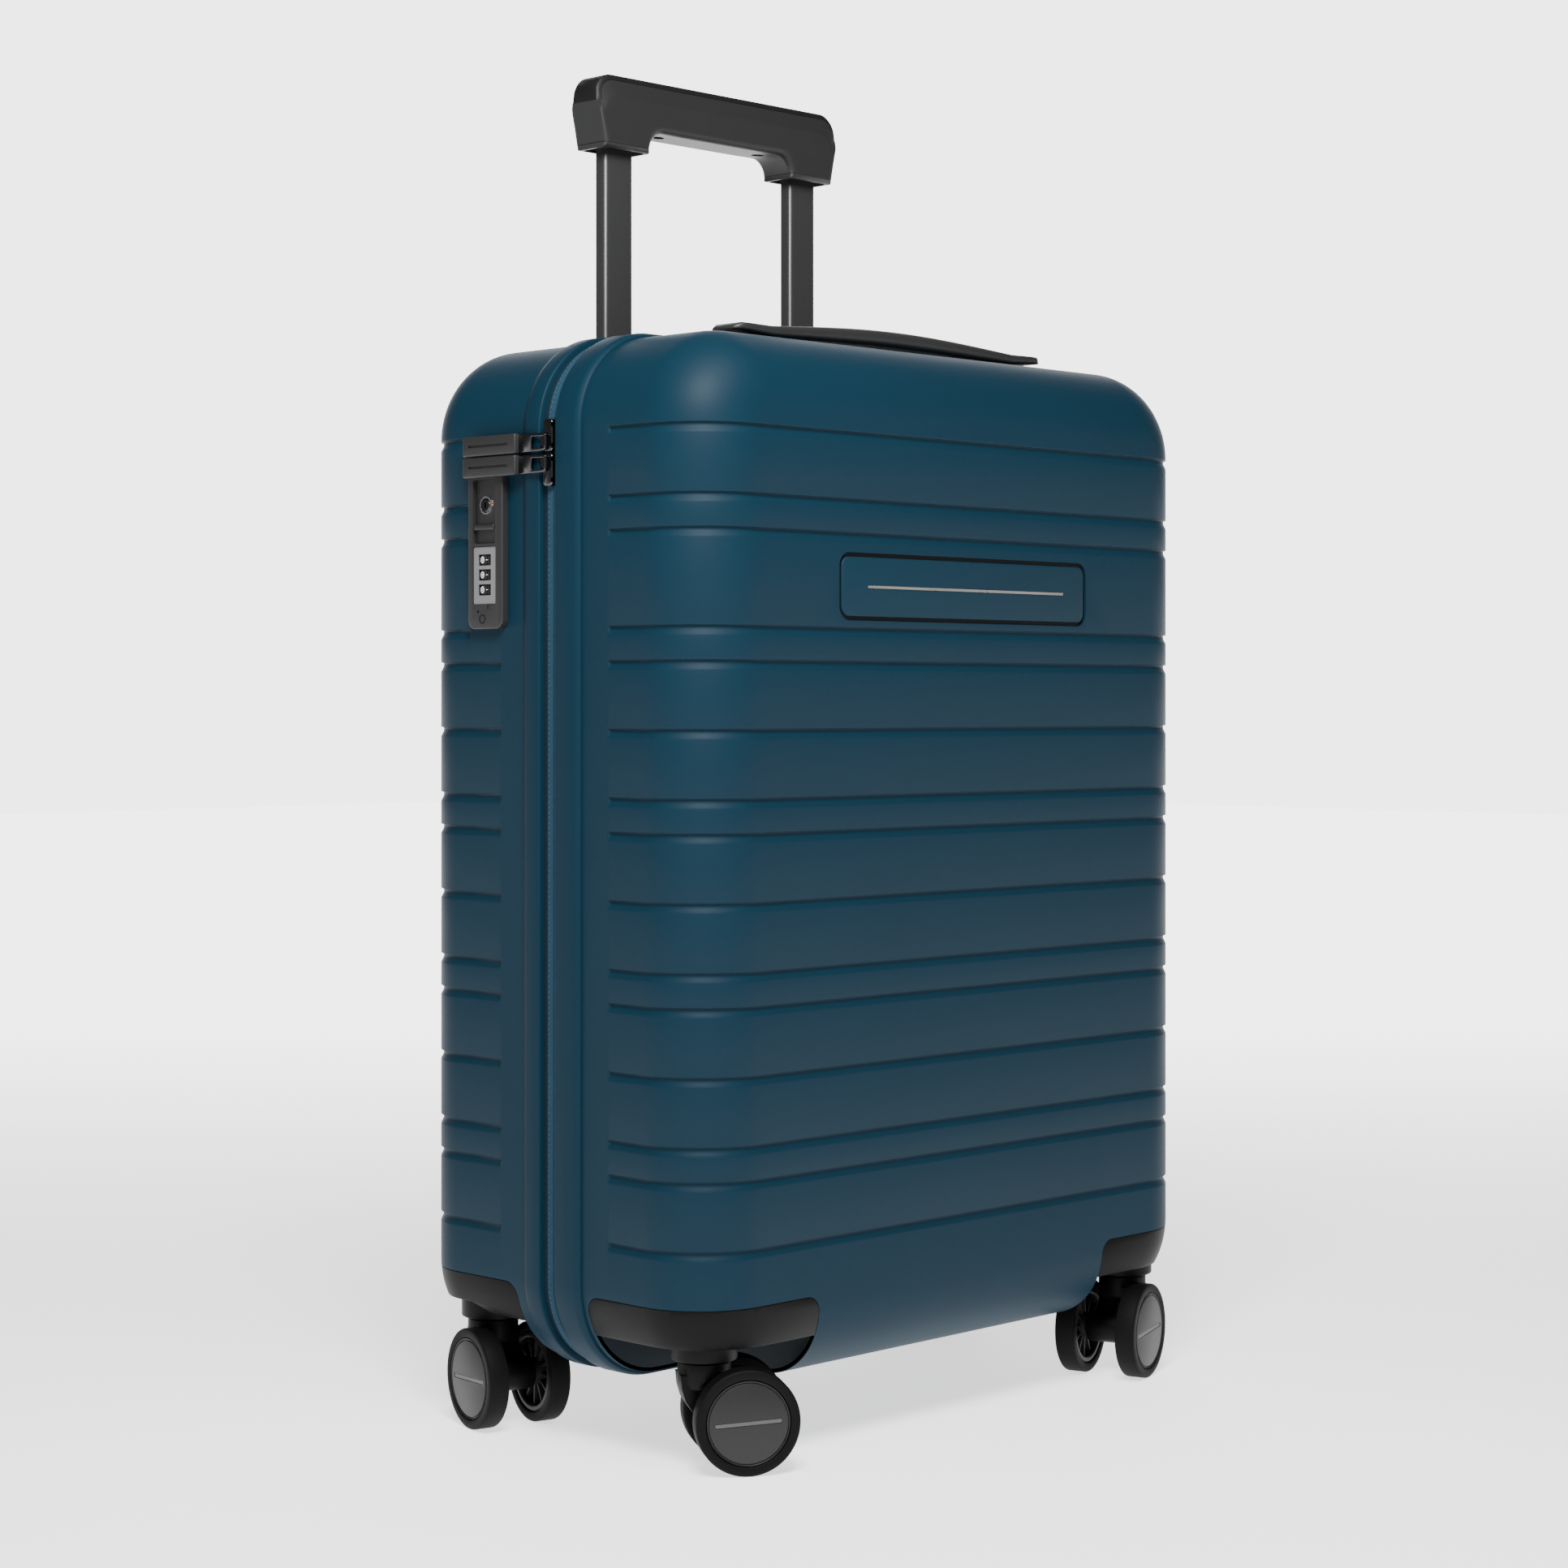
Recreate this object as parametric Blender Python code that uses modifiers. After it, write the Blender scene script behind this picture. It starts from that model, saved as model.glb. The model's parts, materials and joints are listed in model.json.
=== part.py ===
"""A hard shell cabin suitcase: two grooved shells joined by a zip, four twin-wheel casters,
a telescopic trolley, a top carry handle and a combination lock on the side.

Metres, +Z up. X runs from the lock side (-) to the hinge side (+), Y from the front (-) to the back (+).
Every shape is drawn about the middle of the case, and the whole suitcase is then centred over its
footprint, so that the origin is on the floor below the middle of its bounding box.
"""

import math

import bmesh
import bpy
from mathutils import Matrix, Vector

# Fits
GAP = 0.0003  # between pieces that are fixed to each other
RUNNING_GAP = 0.0003  # around shafts, tubes and dials that turn or slide
PAST = 0.02  # how far a cutter runs past the surface that it opens

# Case
CASE_WIDTH = 0.388  # over the edge bands
CASE_TOP = 0.5535
CASE_BOTTOM = 0.034
CASE_DEPTH = 0.211  # over the two flat faces
FRONT_FACE = -CASE_DEPTH / 2
BACK_FACE = CASE_DEPTH / 2
SPLIT = -0.002  # the plane where the two halves part
BAND_PROUD = 0.0025  # how far the edge bands stand out from the shells
WALL = 0.0024
OUTLINE_RADIUS = 0.0475  # shell corners, seen from the front
FRONT_EDGE_RADIUS = 0.039
BACK_EDGE_RADIUS = 0.033
OUTLINE_STEPS = 6
EDGE_STEPS = 5

# Edge bands and zip, across the side of the case
FRONT_BAND = (-0.0227, -0.0055)
BACK_BAND = (0.0060, 0.0188)
BAND_THICKNESS = 0.0045
BAND_BEVEL = 0.0014
TAPE_INSET = 0.0024
TAPE_THICKNESS = 0.0015
RING_STEPS = 6

# Grooves pressed into the shells
GROOVE_PITCH = (CASE_TOP - CASE_BOTTOM) / 31.35
LOWEST_GROOVE = CASE_BOTTOM + 0.0721
GROOVE_PLACES = (0, 2, 3, 5, 7, 8, 10, 12, 13, 15, 17, 18, 20.83, 21.83, 23.83)
GROOVE_HEIGHT = 0.0040
GROOVE_DEPTH = 0.0013
FRONT_GROOVE_END = -0.0414
BACK_GROOVE_END = 0.0373
LOCK_GROOVE_END = 0.0610  # where a groove stops short of the lock

# Badge in the front face
BADGE_WIDTH = 0.192
BADGE_HEIGHT = 0.0336
BADGE_CENTRE = CASE_TOP - 0.1269
BADGE_RADIUS = 0.007
BADGE_DEPTH = 0.0016
BADGE_RING = 0.0020  # the dark gap around the panel
BADGE_BAR = (0.152, 0.0013)
BADGE_BAR_INLAY = 0.0006

# Casters
STEM_X = CASE_WIDTH / 2 - 0.032
STEM_Y = CASE_DEPTH / 2 - 0.0275
WHEEL_RADIUS = 0.0255
WHEEL_WIDTH = 0.0112
WHEEL_STEPS = 24
HUB_RADIUS = 0.0205
HUB_WEB = 0.0022
HUB_RIM = 0.0026
HUB_BOSS_RADIUS = 0.0068
HUB_CHAMFER = 0.0004
HUB_LIP = 0.0008  # how far the inner edge of the hub lies behind the tyre
HUB_FACE_THICKNESS = 0.0010  # of the disc outside the web
TYRE_ROUND = 0.0012
TYRE_TURN = 0.3  # where the middle of the rounded edge lies, of TYRE_ROUND
TRAIL = 0.0175
FORK_WIDTH = 0.0230
FORK_NECK_RADIUS = 0.0130
FORK_NECK_BOTTOM = 0.040
BARREL_RADIUS = 0.0083
AXLE_RADIUS = 0.00275
STEM_PIN_RADIUS = 0.0040
STEM_PIN_TOP = 0.0660
STEM_PIN_LAP = 0.0020  # how far the pin reaches into the neck
FORK_WEB_SHARE = 0.74  # width of the sloping web, of the fork's width
FORK_NECK_SHARE = 0.95  # reach of the web under the neck, of the neck's radius
FORK_BARREL_SHARE = 0.8  # height of the web at the barrel, of the barrel's diameter
FORK_WEB_LAP = (0.0010, 0.0050)  # heights above the bottom of the neck where the web meets it
CASTER_SPINE = ((-0.0130, 0.0430), (-0.0108, 0.0350), (-0.0060, 0.0280), (0.0020, 0.0220), (0.0110, 0.0184))
WHEEL_ARCH_CLEARANCE = 0.0014
CASTER_HEADINGS = {"front_left": -34.0, "front_right": -163.0, "back_left": -104.0, "back_right": 20.0}

# Caster housings
POCKET_X = CASE_WIDTH / 2 - 0.084
POCKET_Y = 0.026
HOUSING_TOP = 0.080
HOUSING_END_BOTTOM = 0.060
HOUSING_CORNER_BOTTOM = 0.065
HOUSING_SLANT_X = (CASE_WIDTH / 2 - 0.067, CASE_WIDTH / 2 - 0.049)
HOUSING_SLANT_Y = (CASE_DEPTH / 2 - 0.0565, CASE_DEPTH / 2 - 0.0405)
HOUSING_WALL = 0.0026
HOUSING_SIDE_EXTRA = 0.0006  # the wall across the side of the case is thicker by this
HOUSING_RADIUS = 0.008
COLLAR_RADIUS = 0.01625
COLLAR_BOTTOM = 0.053
COLLAR_CHAMFER = 0.001
SOCKET_RADIUS = 0.0085

# Trolley
GRIP_WIDTH = 0.185
TUBE_X = GRIP_WIDTH / 2 - 0.0215
TUBE_Y = CASE_DEPTH / 2 - 0.0205
INNER_TUBE = (0.0210, 0.0090)
TUBE_WALL = 0.0012
TUBE_CORNER = 0.0028
INNER_TUBE_BOTTOM = CASE_TOP - 0.3285
MIDDLE_TUBE_BOTTOM = CASE_BOTTOM + 0.0410
TUBE_END = CASE_BOTTOM + 0.0263
BASE_BAR = (0.176, 0.0185)

# Recess that takes the lowered grip
TRAY_FLOOR = CASE_TOP - 0.0405
TRAY_FLOOR_THICKNESS = 0.0025
TRAY_WALL = 0.0020
TRAY_CLEARANCE = 0.0015
TRAY_RADIUS = 0.006

# Grip
GRIP_DEPTH = 0.024
GRIP_TOP = CASE_TOP + 0.1515  # as photographed, with the trolley partly drawn out
GRIP_LEG_BOTTOM = GRIP_TOP - 0.0400
GRIP_BAR_BOTTOM = GRIP_TOP - 0.0275
GRIP_LEG_INSIDE = GRIP_WIDTH / 2 - 0.0380
GRIP_WAIST = GRIP_WIDTH / 2 - 0.0045  # half width at the foot of the legs
GRIP_SHOULDER = GRIP_TOP - 0.0150  # where the sides start to turn over the top
GRIP_CORNER = 0.012
GRIP_FILLET = 0.010
GRIP_COVER = 0.0032
GRIP_EDGE = 0.0030
GRIP_SOCKET = 0.015
GRIP_SCREW_X = 0.0387
GRIP_SCREW_RADIUS = 0.0024
GRIP_SCREW_DEPTH = 0.004
BUTTON = (0.036, 0.012)
BUTTON_HEIGHT = 0.0070
BUTTON_TRAVEL = 0.004
BUTTON_PROUD = 0.0004

# Carry handle on top of the front shell
HANDLE_Y = -0.048
HANDLE_LENGTH = 0.224
HANDLE_WIDTH = 0.022
HANDLE_THICKNESS = 0.0042
HANDLE_END_RISE = 0.0010
HANDLE_BOW = 0.0055
HANDLE_FOOT_X = 0.094
HANDLE_FOOT_RADIUS = 0.0045
HANDLE_THINNING = 0.25  # share of the thickness lost at the tips
HANDLE_STEPS = 14

# Lock on the side
LOCK_Y = (0.0317, 0.0580)
LOCK_Z = (CASE_TOP - 0.1475, CASE_TOP - 0.0535)
LOCK_PROUD = 0.0045
LOCK_RADIUS = 0.005
LOCK_CHAMFER = 0.001
LOCK_BOX_Y = (0.0360, 0.0548)
LOCK_BOX_Z = (LOCK_Z[0] + 0.0070, LOCK_Z[0] + 0.0740)
LOCK_BOX_DEPTH = 0.0170
LOCK_BOX_LAP = 0.002  # how far below the face of the plate the box starts
LOCK_AXIS_Y = 0.0454
KEY_RECESS_Y = (0.0370, 0.0540)
KEY_RECESS_Z = (LOCK_Z[0] + 0.0430, LOCK_Z[0] + 0.0750)
KEY_RECESS_DEPTH = 0.0020
KEY_Z = LOCK_Z[0] + 0.0622
KEY_RADIUS = 0.0033
KEY_LENGTH = 0.0030
KEY_PROUD = 0.0011
KEY_SLIT = (0.0010, 0.0034, 0.0012)  # width, height and depth
RELEASE_Z = LOCK_Z[0] + 0.0512
RELEASE_SIZE = (0.0150, 0.0026)
RELEASE_PROUD = 0.0019
DIAL_PLACES = (LOCK_Z[0] + 0.0348, LOCK_Z[0] + 0.0273, LOCK_Z[0] + 0.0198)
DIAL_RADIUS = 0.0040
DIAL_WIDTH = 0.0046
DIAL_SINK = 0.0039  # depth of the dials' axis below the face of the lock
DIAL_STEPS = 20
DIAL_PANEL_Y = (0.0365, 0.0540)
DIAL_PANEL_Z = (LOCK_Z[0] + 0.0125, LOCK_Z[0] + 0.0415)
DIAL_PANEL_DEPTH = 0.0005

# Zip sliders and their pullers
PULLER_PLACES = {"upper": LOCK_Z[1] - 0.0024, "lower": LOCK_Z[1] - 0.0130}
PULLER_HEIGHT = 0.0102
PULLER_THICKNESS = 0.0030
PULLER_CORNER = 0.0012
PULLER_CLEARANCE = 0.0005  # over the face of the lock
PULLER_LOOP_LAP = (0.001, 0.002)  # of the loop's window and of the loop itself, at the plate
PULLER_Y = (0.0090, 0.0580)
PULLER_BAR_Y = -0.0010
PULLER_BAR = 0.0014
PULLER_LOOP_HALF = 0.0036  # half the height of the loop's window
SLIDER_Y = (-0.0050, 0.0022)
SLIDER_LENGTH = 0.0162
SLIDER_THICKNESS = 0.0031
SLIDER_CORNER = 0.0016
BAIL_HALF_HEIGHT = 0.0024
BAIL_WALL = 0.0011
BAIL_LAP = 0.0008
BAIL_CORNER = 0.0007

# Lining, straps and gusset
LINING = 0.0012
BACK_LINING_FLOOR = CASE_DEPTH / 2 - 0.0285
LINING_RIM = 0.0025  # how far the linings stop from the split plane
STRAP_WIDTH = 0.025
STRAP_THICKNESS = 0.0015
STRAP_REACH = (CASE_WIDTH / 2 - 0.054, (CASE_TOP - CASE_BOTTOM) / 2 - 0.12975)
BUCKLE = (0.045, 0.035, 0.0050)
BUCKLE_CORNER = 0.006
HINGE_OUT = 0.0005  # the line the halves turn about, outside the edge bands
GUSSET_DEPTH = 0.030
GUSSET_THICKNESS = 0.0011
GUSSET_Z = (CASE_BOTTOM + 0.0610, CASE_TOP - 0.0585)

# Values that follow from the ones above
HALF_WIDTH = CASE_WIDTH / 2
SHELL_SIDE = HALF_WIDTH - BAND_PROUD
SHELL_TOP = CASE_TOP - BAND_PROUD
SHELL_BOTTOM = CASE_BOTTOM + BAND_PROUD
LOCK_FACE = -SHELL_SIDE - LOCK_PROUD
HINGE_X = HALF_WIDTH + HINGE_OUT
MIDDLE_TUBE = tuple(side + 2 * (TUBE_WALL + RUNNING_GAP) for side in INNER_TUBE)
OUTER_TUBE = tuple(side + 2 * (TUBE_WALL + RUNNING_GAP) for side in MIDDLE_TUBE)

# Colours, roughness and metallic value of each material
LOOKS = {
    "navy_shell": ((0.030, 0.075, 0.115, 1), 0.48, 0.0),
    "navy_band": ((0.030, 0.072, 0.110, 1), 0.42, 0.0),
    "navy_tape": ((0.022, 0.060, 0.095, 1), 0.80, 0.0),
    "badge_navy": ((0.034, 0.074, 0.108, 1), 0.45, 0.0),
    "pale_metal": ((0.720, 0.680, 0.600, 1), 0.30, 1.0),
    "black_plastic": ((0.022, 0.022, 0.023, 1), 0.45, 0.0),
    "wheel_plastic": ((0.036, 0.036, 0.037, 1), 0.50, 0.0),
    "tyre_rubber": ((0.020, 0.020, 0.021, 1), 0.65, 0.0),
    "tube_metal": ((0.035, 0.035, 0.037, 1), 0.28, 0.8),
    "grip_plastic": ((0.045, 0.045, 0.046, 1), 0.50, 0.0),
    "soft_grip": ((0.040, 0.040, 0.041, 1), 0.55, 0.0),
    "lock_plastic": ((0.060, 0.060, 0.062, 1), 0.45, 0.0),
    "dial_plastic": ((0.015, 0.015, 0.015, 1), 0.40, 0.0),
    "gunmetal": ((0.130, 0.130, 0.140, 1), 0.22, 1.0),
    "steel": ((0.600, 0.600, 0.620, 1), 0.25, 1.0),
    "lining_cloth": ((0.100, 0.105, 0.115, 1), 0.90, 0.0),
    "strap_webbing": ((0.050, 0.055, 0.065, 1), 0.85, 0.0),
}


# ---------------------------------------------------------------- scene and objects


def clear_scene():
    for old in list(bpy.data.objects):
        bpy.data.objects.remove(old, do_unlink=True)


def new_collection(name):
    made = bpy.data.collections.new(name)
    bpy.context.scene.collection.children.link(made)
    return made


def new_material(name):
    colour, roughness, metallic = LOOKS[name]
    made = bpy.data.materials.new(name)
    made.use_nodes = True
    shader = made.node_tree.nodes["Principled BSDF"]
    shader.inputs["Base Color"].default_value = colour
    shader.inputs["Roughness"].default_value = roughness
    shader.inputs["Metallic"].default_value = metallic
    return made


clear_scene()
PARTS = new_collection("hard_shell_suitcase")
CUTTERS = new_collection("cutters")
MATERIALS = {name: new_material(name) for name in LOOKS}


def new_empty(name, place=(0, 0, 0), parent=None, turn=0.0):
    """A frame for moving pieces, at place in its parent, turned about Z by so many degrees."""
    made = bpy.data.objects.new(name, None)
    made.location = place
    made.rotation_euler = (0, 0, math.radians(turn))
    made.parent = parent
    PARTS.objects.link(made)
    return made


SUITCASE = new_empty("suitcase")


def new_object(name, bm, parent, offset, collection):
    """Links the mesh under parent. offset moves it from case axes to the parent's own."""
    bmesh.ops.translate(bm, verts=bm.verts, vec=-Vector(offset))
    bmesh.ops.recalc_face_normals(bm, faces=bm.faces)
    mesh = bpy.data.meshes.new(name)
    bm.to_mesh(mesh)
    bm.free()
    made = bpy.data.objects.new(name, mesh)
    made.parent = parent
    collection.objects.link(made)
    return made


def add_part(name, bm, look, parent=None, offset=(0, 0, 0), smooth_below=35.0):
    made = new_object(name, bm, parent or SUITCASE, offset, PARTS)
    made.data.materials.append(MATERIALS[look])
    made.data.shade_smooth()
    made.data.set_sharp_from_angle(angle=math.radians(smooth_below))
    return made


def add_cutter(name, bm, parent=None, offset=(0, 0, 0)):
    made = new_object(name, bm, parent or SUITCASE, offset, CUTTERS)
    made.hide_render = True
    made.display_type = "WIRE"
    return made


def combine(target, other, operation="DIFFERENCE"):
    """Adds an exact Boolean of target with other."""
    modifier = target.modifiers.new(f"{operation.lower()}_{other.name}", "BOOLEAN")
    modifier.operation = operation
    modifier.solver = "EXACT"
    modifier.object = other
    return target


# ---------------------------------------------------------------- shapes


def box(low, high):
    """A closed box between two corners."""
    low, high = Vector(low), Vector(high)
    bm = bmesh.new()
    bmesh.ops.create_cube(bm, size=1.0)
    bmesh.ops.scale(bm, verts=bm.verts, vec=high - low)
    bmesh.ops.translate(bm, verts=bm.verts, vec=(low + high) / 2)
    return bm


def joined(*pieces):
    """Separate closed shapes in one mesh, for a cutter that has several."""
    whole = bmesh.new()
    for piece in pieces:
        mesh = bpy.data.meshes.new("piece")
        piece.to_mesh(mesh)
        piece.free()
        whole.from_mesh(mesh)
        bpy.data.meshes.remove(mesh)
    return whole


def edges_along(bm, axis):
    """The edges parallel to an axis, 0 to 2."""
    found = []
    for edge in bm.edges:
        along = edge.verts[1].co - edge.verts[0].co
        if abs(along[axis]) > 0.999 * along.length:
            found.append(edge)
    return found


def rounded_box(low, high, axis, radius, steps=3):
    """A box whose four edges along one axis are rounded."""
    bm = box(low, high)
    bmesh.ops.bevel(
        bm,
        geom=edges_along(bm, axis),
        offset=radius,
        segments=steps,
        profile=0.5,
        affect="EDGES",
        clamp_overlap=False,
    )
    return bm


def round_face(bm, axis, place, radius, steps):
    """Rounds the edges around the flat face at place on an axis."""
    rim = [e for e in bm.edges if all(abs(v.co[axis] - place) < 1e-6 for v in e.verts)]
    bmesh.ops.bevel(
        bm, geom=rim, offset=radius, segments=steps, profile=0.5, affect="EDGES", clamp_overlap=False
    )


def cylinder(centre, radius, length, axis="Z", steps=24):
    """A closed cylinder about its centre, with a corner at the lowest point when it lies flat."""
    bm = bmesh.new()
    bmesh.ops.create_cone(
        bm, cap_ends=True, cap_tris=False, segments=steps, radius1=radius, radius2=radius, depth=length
    )
    turns = {"X": Matrix.Rotation(math.pi / 2, 4, "Y"), "Y": Matrix.Rotation(math.pi / 2, 4, "X")}
    if axis in turns:
        bmesh.ops.transform(bm, matrix=turns[axis], verts=bm.verts)
    bmesh.ops.translate(bm, verts=bm.verts, vec=centre)
    return bm


def extruded(outline, axis, start, end):
    """A flat outline, given as pairs along the other two axes in order, drawn out along axis."""
    others = [i for i in range(3) if i != axis]
    bm = bmesh.new()
    corners = []
    for first, second in outline:
        point = [0.0, 0.0, 0.0]
        point[others[0]] = first
        point[others[1]] = second
        point[axis] = start
        corners.append(bm.verts.new(point))
    face = bm.faces.new(corners)
    drawn = bmesh.ops.extrude_face_region(bm, geom=[face])["geom"]
    shift = [0.0, 0.0, 0.0]
    shift[axis] = end - start
    moved = [item for item in drawn if isinstance(item, bmesh.types.BMVert)]
    bmesh.ops.translate(bm, verts=moved, vec=shift)
    return bm


def arc(centre, radius, start, end, steps):
    """Points on an arc between two angles in degrees, both ends included."""
    angles = [math.radians(start + (end - start) * i / steps) for i in range(steps + 1)]
    return [(centre[0] + radius * math.cos(a), centre[1] + radius * math.sin(a)) for a in angles]


def turned(profile, steps, name):
    """A ring or disc from a closed profile of (radius, height) pairs, made by a Screw about Z."""
    bm = bmesh.new()
    points = [bm.verts.new((radius, 0.0, height)) for radius, height in profile]
    for first, second in zip(points, points[1:] + points[:1]):
        if not (profile[points.index(first)][0] == 0 and profile[points.index(second)][0] == 0):
            bm.edges.new((first, second))
    mesh = bpy.data.meshes.new(name + "_profile")
    bm.to_mesh(mesh)
    bm.free()
    helper = bpy.data.objects.new(name + "_profile", mesh)
    CUTTERS.objects.link(helper)
    screw = helper.modifiers.new("turn", "SCREW")
    screw.axis = "Z"
    screw.steps = steps
    screw.render_steps = steps
    screw.use_merge_vertices = True
    screw.merge_threshold = 0.00001
    bpy.context.view_layer.update()
    solid = bmesh.new()
    solid.from_object(helper, bpy.context.evaluated_depsgraph_get())
    bpy.data.objects.remove(helper, do_unlink=True)
    bpy.data.meshes.remove(mesh)
    return solid


def ring(inset, thickness, start, end):
    """A band around the case between two places on Y: its outside is inset from the bands' outline."""
    outer = rounded_box(
        (-HALF_WIDTH + inset, start, CASE_BOTTOM + inset),
        (HALF_WIDTH - inset, end, CASE_TOP - inset),
        1,
        OUTLINE_RADIUS + BAND_PROUD - inset,
        RING_STEPS,
    )
    deeper = inset + thickness
    inner = rounded_box(
        (-HALF_WIDTH + deeper, start - PAST, CASE_BOTTOM + deeper),
        (HALF_WIDTH - deeper, end + PAST, CASE_TOP - deeper),
        1,
        OUTLINE_RADIUS + BAND_PROUD - deeper,
        RING_STEPS,
    )
    return outer, inner


def half_case(inset, face, rim, edge_radius):
    """One half of the case as a solid block, from its flat face to its rim, all set in by inset."""
    inward = math.copysign(1, rim - face)
    flat = face + inward * inset
    low, high = sorted((flat, rim))
    bm = rounded_box(
        (-SHELL_SIDE + inset, low, SHELL_BOTTOM + inset),
        (SHELL_SIDE - inset, high, SHELL_TOP - inset),
        1,
        OUTLINE_RADIUS - inset,
        OUTLINE_STEPS,
    )
    round_face(bm, 1, flat, edge_radius - inset, EDGE_STEPS)
    return bm


def corner_block(side_x, side_y, grow, top, bottom=SHELL_BOTTOM - PAST, extra_y=0.0):
    """The space cut from a lower corner for a caster, larger by grow towards the middle of the case,
    and by extra_y more across its side.

    The upper edges that run inwards from the outside are rounded like the housing's.
    """
    inner_x = side_x * (POCKET_X - grow)
    outer_x = side_x * (HALF_WIDTH + PAST)
    inner_y = side_y * (POCKET_Y - grow - extra_y)
    outer_y = side_y * (BACK_FACE + PAST)
    low = (min(inner_x, outer_x), min(inner_y, outer_y), bottom)
    high = (max(inner_x, outer_x), max(inner_y, outer_y), top + grow)
    bm = box(low, high)
    rounded = [
        edge
        for edge in bm.edges
        if all(abs(v.co.z - high[2]) < 1e-6 for v in edge.verts)
        and (
            all(abs(v.co.x - inner_x) < 1e-6 for v in edge.verts)
            or all(abs(v.co.y - inner_y) < 1e-6 for v in edge.verts)
        )
    ]
    radius = HOUSING_RADIUS + grow
    bmesh.ops.bevel(
        bm, geom=rounded, offset=radius, segments=3, profile=0.5, affect="EDGES", clamp_overlap=False
    )
    return bm


def corner_blocks(side_y, grow, name, top=HOUSING_TOP):
    """A cutter for both lower corners of one half."""
    return add_cutter(name, joined(*(corner_block(side, side_y, grow, top) for side in (-1, 1))))


# ---------------------------------------------------------------- case halves


def groove_cutter(name, side_y):
    """The pressed grooves of one half: flat slabs around a block that is smaller by their depth."""
    face = FRONT_FACE if side_y < 0 else BACK_FACE
    end = FRONT_GROOVE_END if side_y < 0 else BACK_GROOVE_END
    radius = FRONT_EDGE_RADIUS if side_y < 0 else BACK_EDGE_RADIUS
    slabs = []
    for place in GROOVE_PLACES:
        middle = LOWEST_GROOVE + place * GROOVE_PITCH
        beside_lock = side_y > 0 and LOCK_Z[0] < middle < LOCK_Z[1] + GROOVE_PITCH
        lock_end = LOCK_GROOVE_END if beside_lock else end
        outline = [
            (-SHELL_SIDE - PAST, lock_end),
            (0.0, lock_end),
            (0.0, end),
            (SHELL_SIDE + PAST, end),
            (SHELL_SIDE + PAST, face + side_y * PAST),
            (-SHELL_SIDE - PAST, face + side_y * PAST),
        ]
        if not beside_lock:
            outline = [outline[0], outline[3], outline[4], outline[5]]
        slabs.append(extruded(outline, 2, middle - GROOVE_HEIGHT / 2, middle + GROOVE_HEIGHT / 2))
    cutter = add_cutter(name, joined(*slabs))
    core = half_case(GROOVE_DEPTH, face, SPLIT, radius)
    return combine(cutter, add_cutter(name + "_core", core))


def make_shell(name, side_y):
    """A shell with its caster pockets and grooves, open at the rim."""
    face = FRONT_FACE if side_y < 0 else BACK_FACE
    rim = FRONT_BAND[0] - GAP if side_y < 0 else BACK_BAND[1] + GAP
    radius = FRONT_EDGE_RADIUS if side_y < 0 else BACK_EDGE_RADIUS
    shell = add_part(name, half_case(0.0, face, rim, radius), "navy_shell", HALVES[side_y], PIVOTS[side_y])
    combine(shell, corner_blocks(side_y, 0.0, name + "_pockets"))
    cavity = add_cutter(name + "_cavity", half_case(WALL, face, rim - side_y * PAST, radius))
    combine(cavity, corner_blocks(side_y, WALL, name + "_pocket_walls"))
    combine(shell, cavity)
    return combine(shell, groove_cutter(name + "_grooves", side_y))


def make_ring(name, look, side_y, inset, thickness, span, bevel=0.0):
    outer, inner = ring(inset, thickness, *span)
    if bevel:
        for place in span:
            round_face(outer, 1, place, bevel, 1)
    made = add_part(name, outer, look, HALVES[side_y], PIVOTS[side_y])
    return combine(made, add_cutter(name + "_inside", inner))


def make_lining(name, side_y):
    """A thin cloth-covered tray that follows the inside of its half."""
    face = FRONT_FACE if side_y < 0 else BACK_LINING_FLOOR - LINING
    outer_face = FRONT_FACE + WALL + GAP if side_y < 0 else BACK_LINING_FLOOR
    radius = FRONT_EDGE_RADIUS if side_y < 0 else BACK_EDGE_RADIUS
    rim = SPLIT + side_y * LINING_RIM
    inset = WALL + GAP
    outside = half_case(inset, face if side_y < 0 else outer_face + inset, rim, radius)
    made = add_part(name, outside, "lining_cloth", HALVES[side_y], PIVOTS[side_y])
    combine(made, corner_blocks(side_y, inset, name + "_pockets"))
    deeper = inset + LINING
    space = half_case(deeper, face if side_y < 0 else outer_face + inset, rim - side_y * PAST, radius)
    inside = add_cutter(name + "_space", space)
    combine(inside, corner_blocks(side_y, deeper, name + "_pocket_walls"))
    return made, inside


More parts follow.
